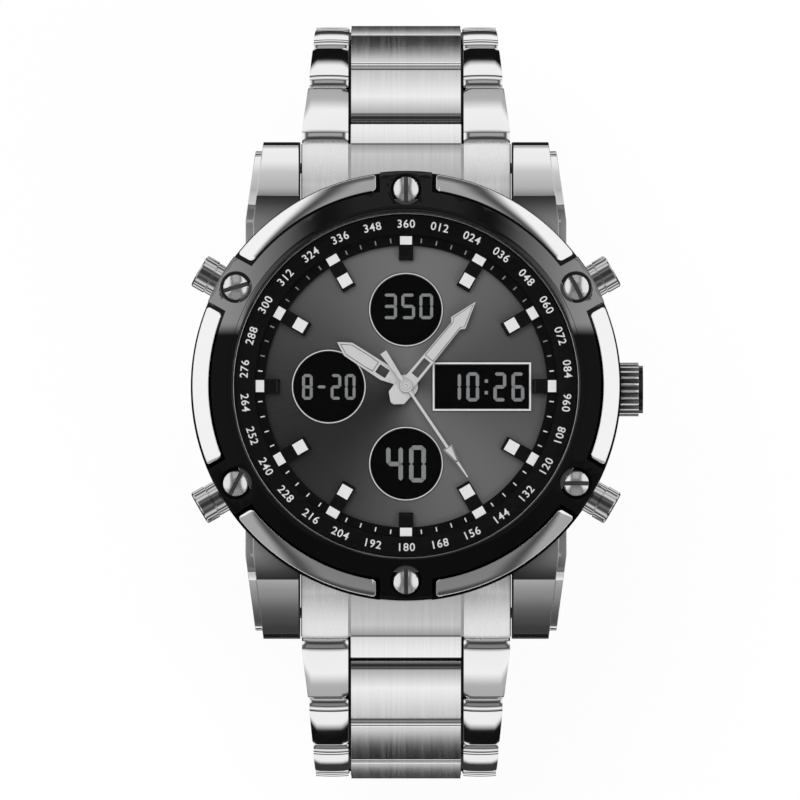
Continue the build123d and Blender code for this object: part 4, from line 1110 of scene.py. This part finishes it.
def makeNumerals():
    # Plain numbers in steps of twelve on the sloped ring, upright in each half of the dial.
    bm = bmesh.new()
    out = numerals["radius"] * mm
    fall = (ringBox[1].x - out) * ringSlope["fall"] / ringSlope["width"]
    height = ringBox[1].z - fall + numerals["lift"] * mm
    for number in range(numerals["count"]):
        turn = 360 / numerals["count"] * number
        words = bpy.data.curves.new("numeral", "FONT")
        words.body = f"{round(turn) or 360:03d}"
        words.size = numerals["size"] * mm
        words.align_x = "CENTER"
        words.align_y = "CENTER"
        words.space_character = numerals["spacing"]
        words.offset = numerals["weight"] * mm
        holder = bpy.data.objects.new("numeral", words)
        mesh = bpy.data.meshes.new_from_object(holder)
        upper = cos(radians(turn)) > numerals["uprightFrom"]
        flip = Matrix.Rotation(0 if upper else pi, 4, "Z")
        lean = Matrix.Rotation(radians(ringSlope["lean"]), 4, "X")
        place = Matrix.Rotation(radians(-turn), 4, "Z") @ Matrix.Translation((0, out, height)) @ lean @ flip
        mesh.transform(place)
        bm.from_mesh(mesh)
        bpy.data.objects.remove(holder)
        bpy.data.meshes.remove(mesh)
        bpy.data.curves.remove(words)
    finishPiece(bm, "ring_numerals", "head", [printWhite], "lume_white")


makeTicks()
makeNumerals()


# Display digits, seven bars each

digits = {
    "0": "abcdef", "1": "bc", "2": "abged", "3": "abgcd", "4": "fgbc",
    "5": "afgcd", "6": "afgedc", "8": "abcdefg", "-": "g",
}
displays = [
    {"text": "350", "x": 0.25, "y": 9.15, "width": 1.55, "height": 2.9, "bar": 0.34, "step": 2.05},
    {"text": "8-20", "x": -8.75, "y": 0.0, "width": 1.2, "height": 2.9, "bar": 0.33, "step": 1.62},
    {"text": "40", "x": 0.0, "y": -8.75, "width": 1.9, "height": 4.2, "bar": 0.5, "step": 2.6},
    {"text": "10:26", "x": 9.1, "y": 0.0, "width": 1.45, "height": 3.3, "bar": 0.38, "step": 2.05},
]
# Shares are of a bar's width, that of the dots is of the digit's height.
barStyle = {"overShare": 0.07, "cutShare": 0.42, "dotShare": 0.2, "height": 0.06}


def makeDigits():
    bm = bmesh.new()
    thick = barStyle["height"]
    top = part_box("display_panel")[1].z + thick / 2 * mm
    for shown in displays:
        wide, tall, bar = shown["width"], shown["height"], shown["bar"]
        shares = [0.5 if sign == ":" else 1.0 for sign in shown["text"]]
        cursor = shown["x"] - sum(shares) * shown["step"] / 2
        reachX, reachY = (wide - bar) / 2, (tall - bar) / 2
        bars = {
            "a": (0, reachY, 0), "g": (0, 0, 0), "d": (0, -reachY, 0),
            "f": (-reachX, reachY / 2, 90), "b": (reachX, reachY / 2, 90),
            "e": (-reachX, -reachY / 2, 90), "c": (reachX, -reachY / 2, 90),
        }
        for sign, share in zip(shown["text"], shares):
            middle = cursor + share * shown["step"] / 2
            cursor += share * shown["step"]
            if sign == ":":
                for up in (-tall * barStyle["dotShare"], tall * barStyle["dotShare"]):
                    place = Matrix.Translation((middle * mm, (shown["y"] + up) * mm, top))
                    addBar(bm, bar, bar, thick, place)
                continue
            for letter in digits[sign]:
                x, y, turn = bars[letter]
                length = (reachY if turn else 2 * reachX) + bar * barStyle["overShare"]
                place = Matrix.Translation(((middle + x) * mm, (shown["y"] + y) * mm, top))
                verts = set(addBar(bm, length, bar, thick, place @ Matrix.Rotation(radians(turn), 4, "Z")))
                upright = [edge for edge in bm.edges if verts.issuperset(edge.verts)
                           and abs(edge.verts[0].co.z - edge.verts[1].co.z) > thick / 2 * mm]
                bevelEdges(bm, upright, bar * barStyle["cutShare"] * mm, 1)
    finishPiece(bm, "display_digits", "head", [displayGrey], "lume_white")


makeDigits()


# Luminous inlays of the hands, each in a bed painted dark as shade, and the cap over the centre with painted shade
# in its hole, groove and edge

def bothSides(points):
    # Adds the other half of an outline that is alike on both sides of X.
    return points + [(x, -y) for x, y in reversed(points) if y > 0]


def turnHand(bm, turn):
    # turn: degrees clockwise from 12.
    bmesh.ops.rotate(bm, verts=bm.verts, cent=(0, 0, 0), matrix=Matrix.Rotation(radians(90 - turn), 3, "Z"))


minuteHand = {
    "turn": 39.5, "thickness": 0.2, "bore": 0.45, "boreStep": 15, "pipe": 0.75, "pipeUnder": 0.1,
    "pipeSteps": 32,
    "points": [(-2.5, 0.22), (-1.72, 1.12), (-0.72, 1.18), (-0.35, 0.8), (1.3, 0.76), (8.85, 0.63),
               (9.3, 1.05), (12.4, 0.0)],
    "window": [(1.55, 0.46), (3.8, 0.46)],
}


def makeMinuteHand():
    # One flat outline with its window and bore, pushed down to its thickness.
    low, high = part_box("minute_hand")
    bm = bmesh.new()

    def addLoop(points):
        # points: (x, y, z), with z in metres.
        verts = [bm.verts.new((x * mm, y * mm, z)) for x, y, z in points]
        return verts, [bm.edges.new((verts[place - 1], verts[place])) for place in range(len(verts))]

    inner, outer = minuteHand["bore"], minuteHand["pipe"]
    turns = [radians(turn) for turn in range(0, 360, minuteHand["boreStep"])]
    bore = [(inner * cos(turn), inner * sin(turn)) for turn in turns]
    rims = []
    for outline in (bothSides(minuteHand["points"]), bothSides(minuteHand["window"]), bore):
        rims += addLoop([(x, y, high.z) for x, y in outline])[1]
    bmesh.ops.triangle_fill(bm, use_beauty=True, edges=rims)
    bmesh.ops.dissolve_limit(bm, angle_limit=radians(1), verts=bm.verts, edges=bm.edges)
    pushDown(bm, bm.faces[:], minuteHand["thickness"] * mm)
    # The pipe that carries it stands below.
    under = high.z - minuteHand["pipeUnder"] * mm
    verts, edges = addLoop([(inner, 0, under), (outer, 0, under), (outer, 0, low.z), (inner, 0, low.z)])
    bmesh.ops.spin(bm, geom=verts + edges, cent=(0, 0, 0), axis=(0, 0, 1), angle=2 * pi,
                   steps=minuteHand["pipeSteps"], use_merge=True)
    bmesh.ops.remove_doubles(bm, verts=bm.verts, dist=merging["spunDoubles"] * mm)
    bmesh.ops.recalc_face_normals(bm, faces=bm.faces)
    turnHand(bm, minuteHand["turn"])
    finishDressed(bm, "minute_hand", [handSteel])


inlays = [
    {"hand": "hour_hand", "turn": 302.8, "points": [(4.15, 0.56), (5.2, 0.62), (7.7, 0.58), (8.75, 0.0)]},
    {"hand": "minute_hand", "turn": 39.5, "points": [(4.15, 0.52), (9.05, 0.46), (9.4, 0.78), (11.9, 0.0)]},
    {"hand": "second_hand", "turn": 146.0, "points": [(8.52, 0.42), (10.25, 0.06)]},
]
inlay = {"bed": 0.075, "bedLift": 0.012, "lift": 0.03, "depth": 0.1}


def addPlate(bm, points, top, material):
    # A flat plate along X from (reach, half width) points in mm, both sides alike.
    plate = bm.faces.new([bm.verts.new((x * mm, y * mm, top)) for x, y in bothSides(points)])
    lower = pushDown(bm, [plate], inlay["depth"] * mm)
    faces = [plate, *{face for vert in lower for face in vert.link_faces}]
    for face in faces:
        face.material_index = material
    bmesh.ops.recalc_face_normals(bm, faces=faces)


def makeInlays():
    for item in inlays:
        bm = bmesh.new()
        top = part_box(item["hand"])[1].z
        wide = [(reach, half + inlay["bed"] if half > 0 else 0.0) for reach, half in item["points"]]
        first, last = wide[0], wide[-1]
        wide = [(first[0] - inlay["bed"], first[1])] + wide[1:-1] + [(last[0] + 2 * inlay["bed"], last[1])]
        addPlate(bm, wide, top + inlay["bedLift"] * mm, 1)
        addPlate(bm, item["points"], top + inlay["lift"] * mm, 0)
        turnHand(bm, item["turn"])
        finishPiece(bm, item["hand"] + "_lume", item["hand"], [handLume, paintedInlayShade], "lume_white")


cap = {
    "profile": [(0.0, 0.0), (0.0, 0.17), (0.07, 0.22), (0.07, 0.44), (0.0, 0.48), (0.0, 0.56), (0.06, 0.6),
                (0.06, 0.74), (0.0, 0.79), (-0.1, 0.8)],
    # The hole, the groove and the edge are painted shade.
    "dark": [(0.0, 0.21), (0.455, 0.585), (0.76, 1.0)],  # radii of its hole, groove and edge
    "sunk": 0.02, "steps": 48,
}


def makeCap():
    # Turned about X, then stood up on the second hand.
    bm = turnedShape(cap["profile"], cap["steps"])
    for face in bm.faces:
        radius = face.calc_center_median().yz.length / mm
        face.material_index = int(any(low <= radius < high for low, high in cap["dark"]))
    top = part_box("second_hand")[1].z - cap["sunk"] * mm
    place = Matrix.Translation((0, 0, top)) @ Matrix.Rotation(radians(-90), 4, "Y")
    bmesh.ops.transform(bm, matrix=place, verts=bm.verts)
    finishPiece(bm, "second_hand_cap", "second_hand", [handSteel, paintedInlayShade], "polished_steel", sharp=40)


makeMinuteHand()
makeInlays()
makeCap()
print("dial side made")
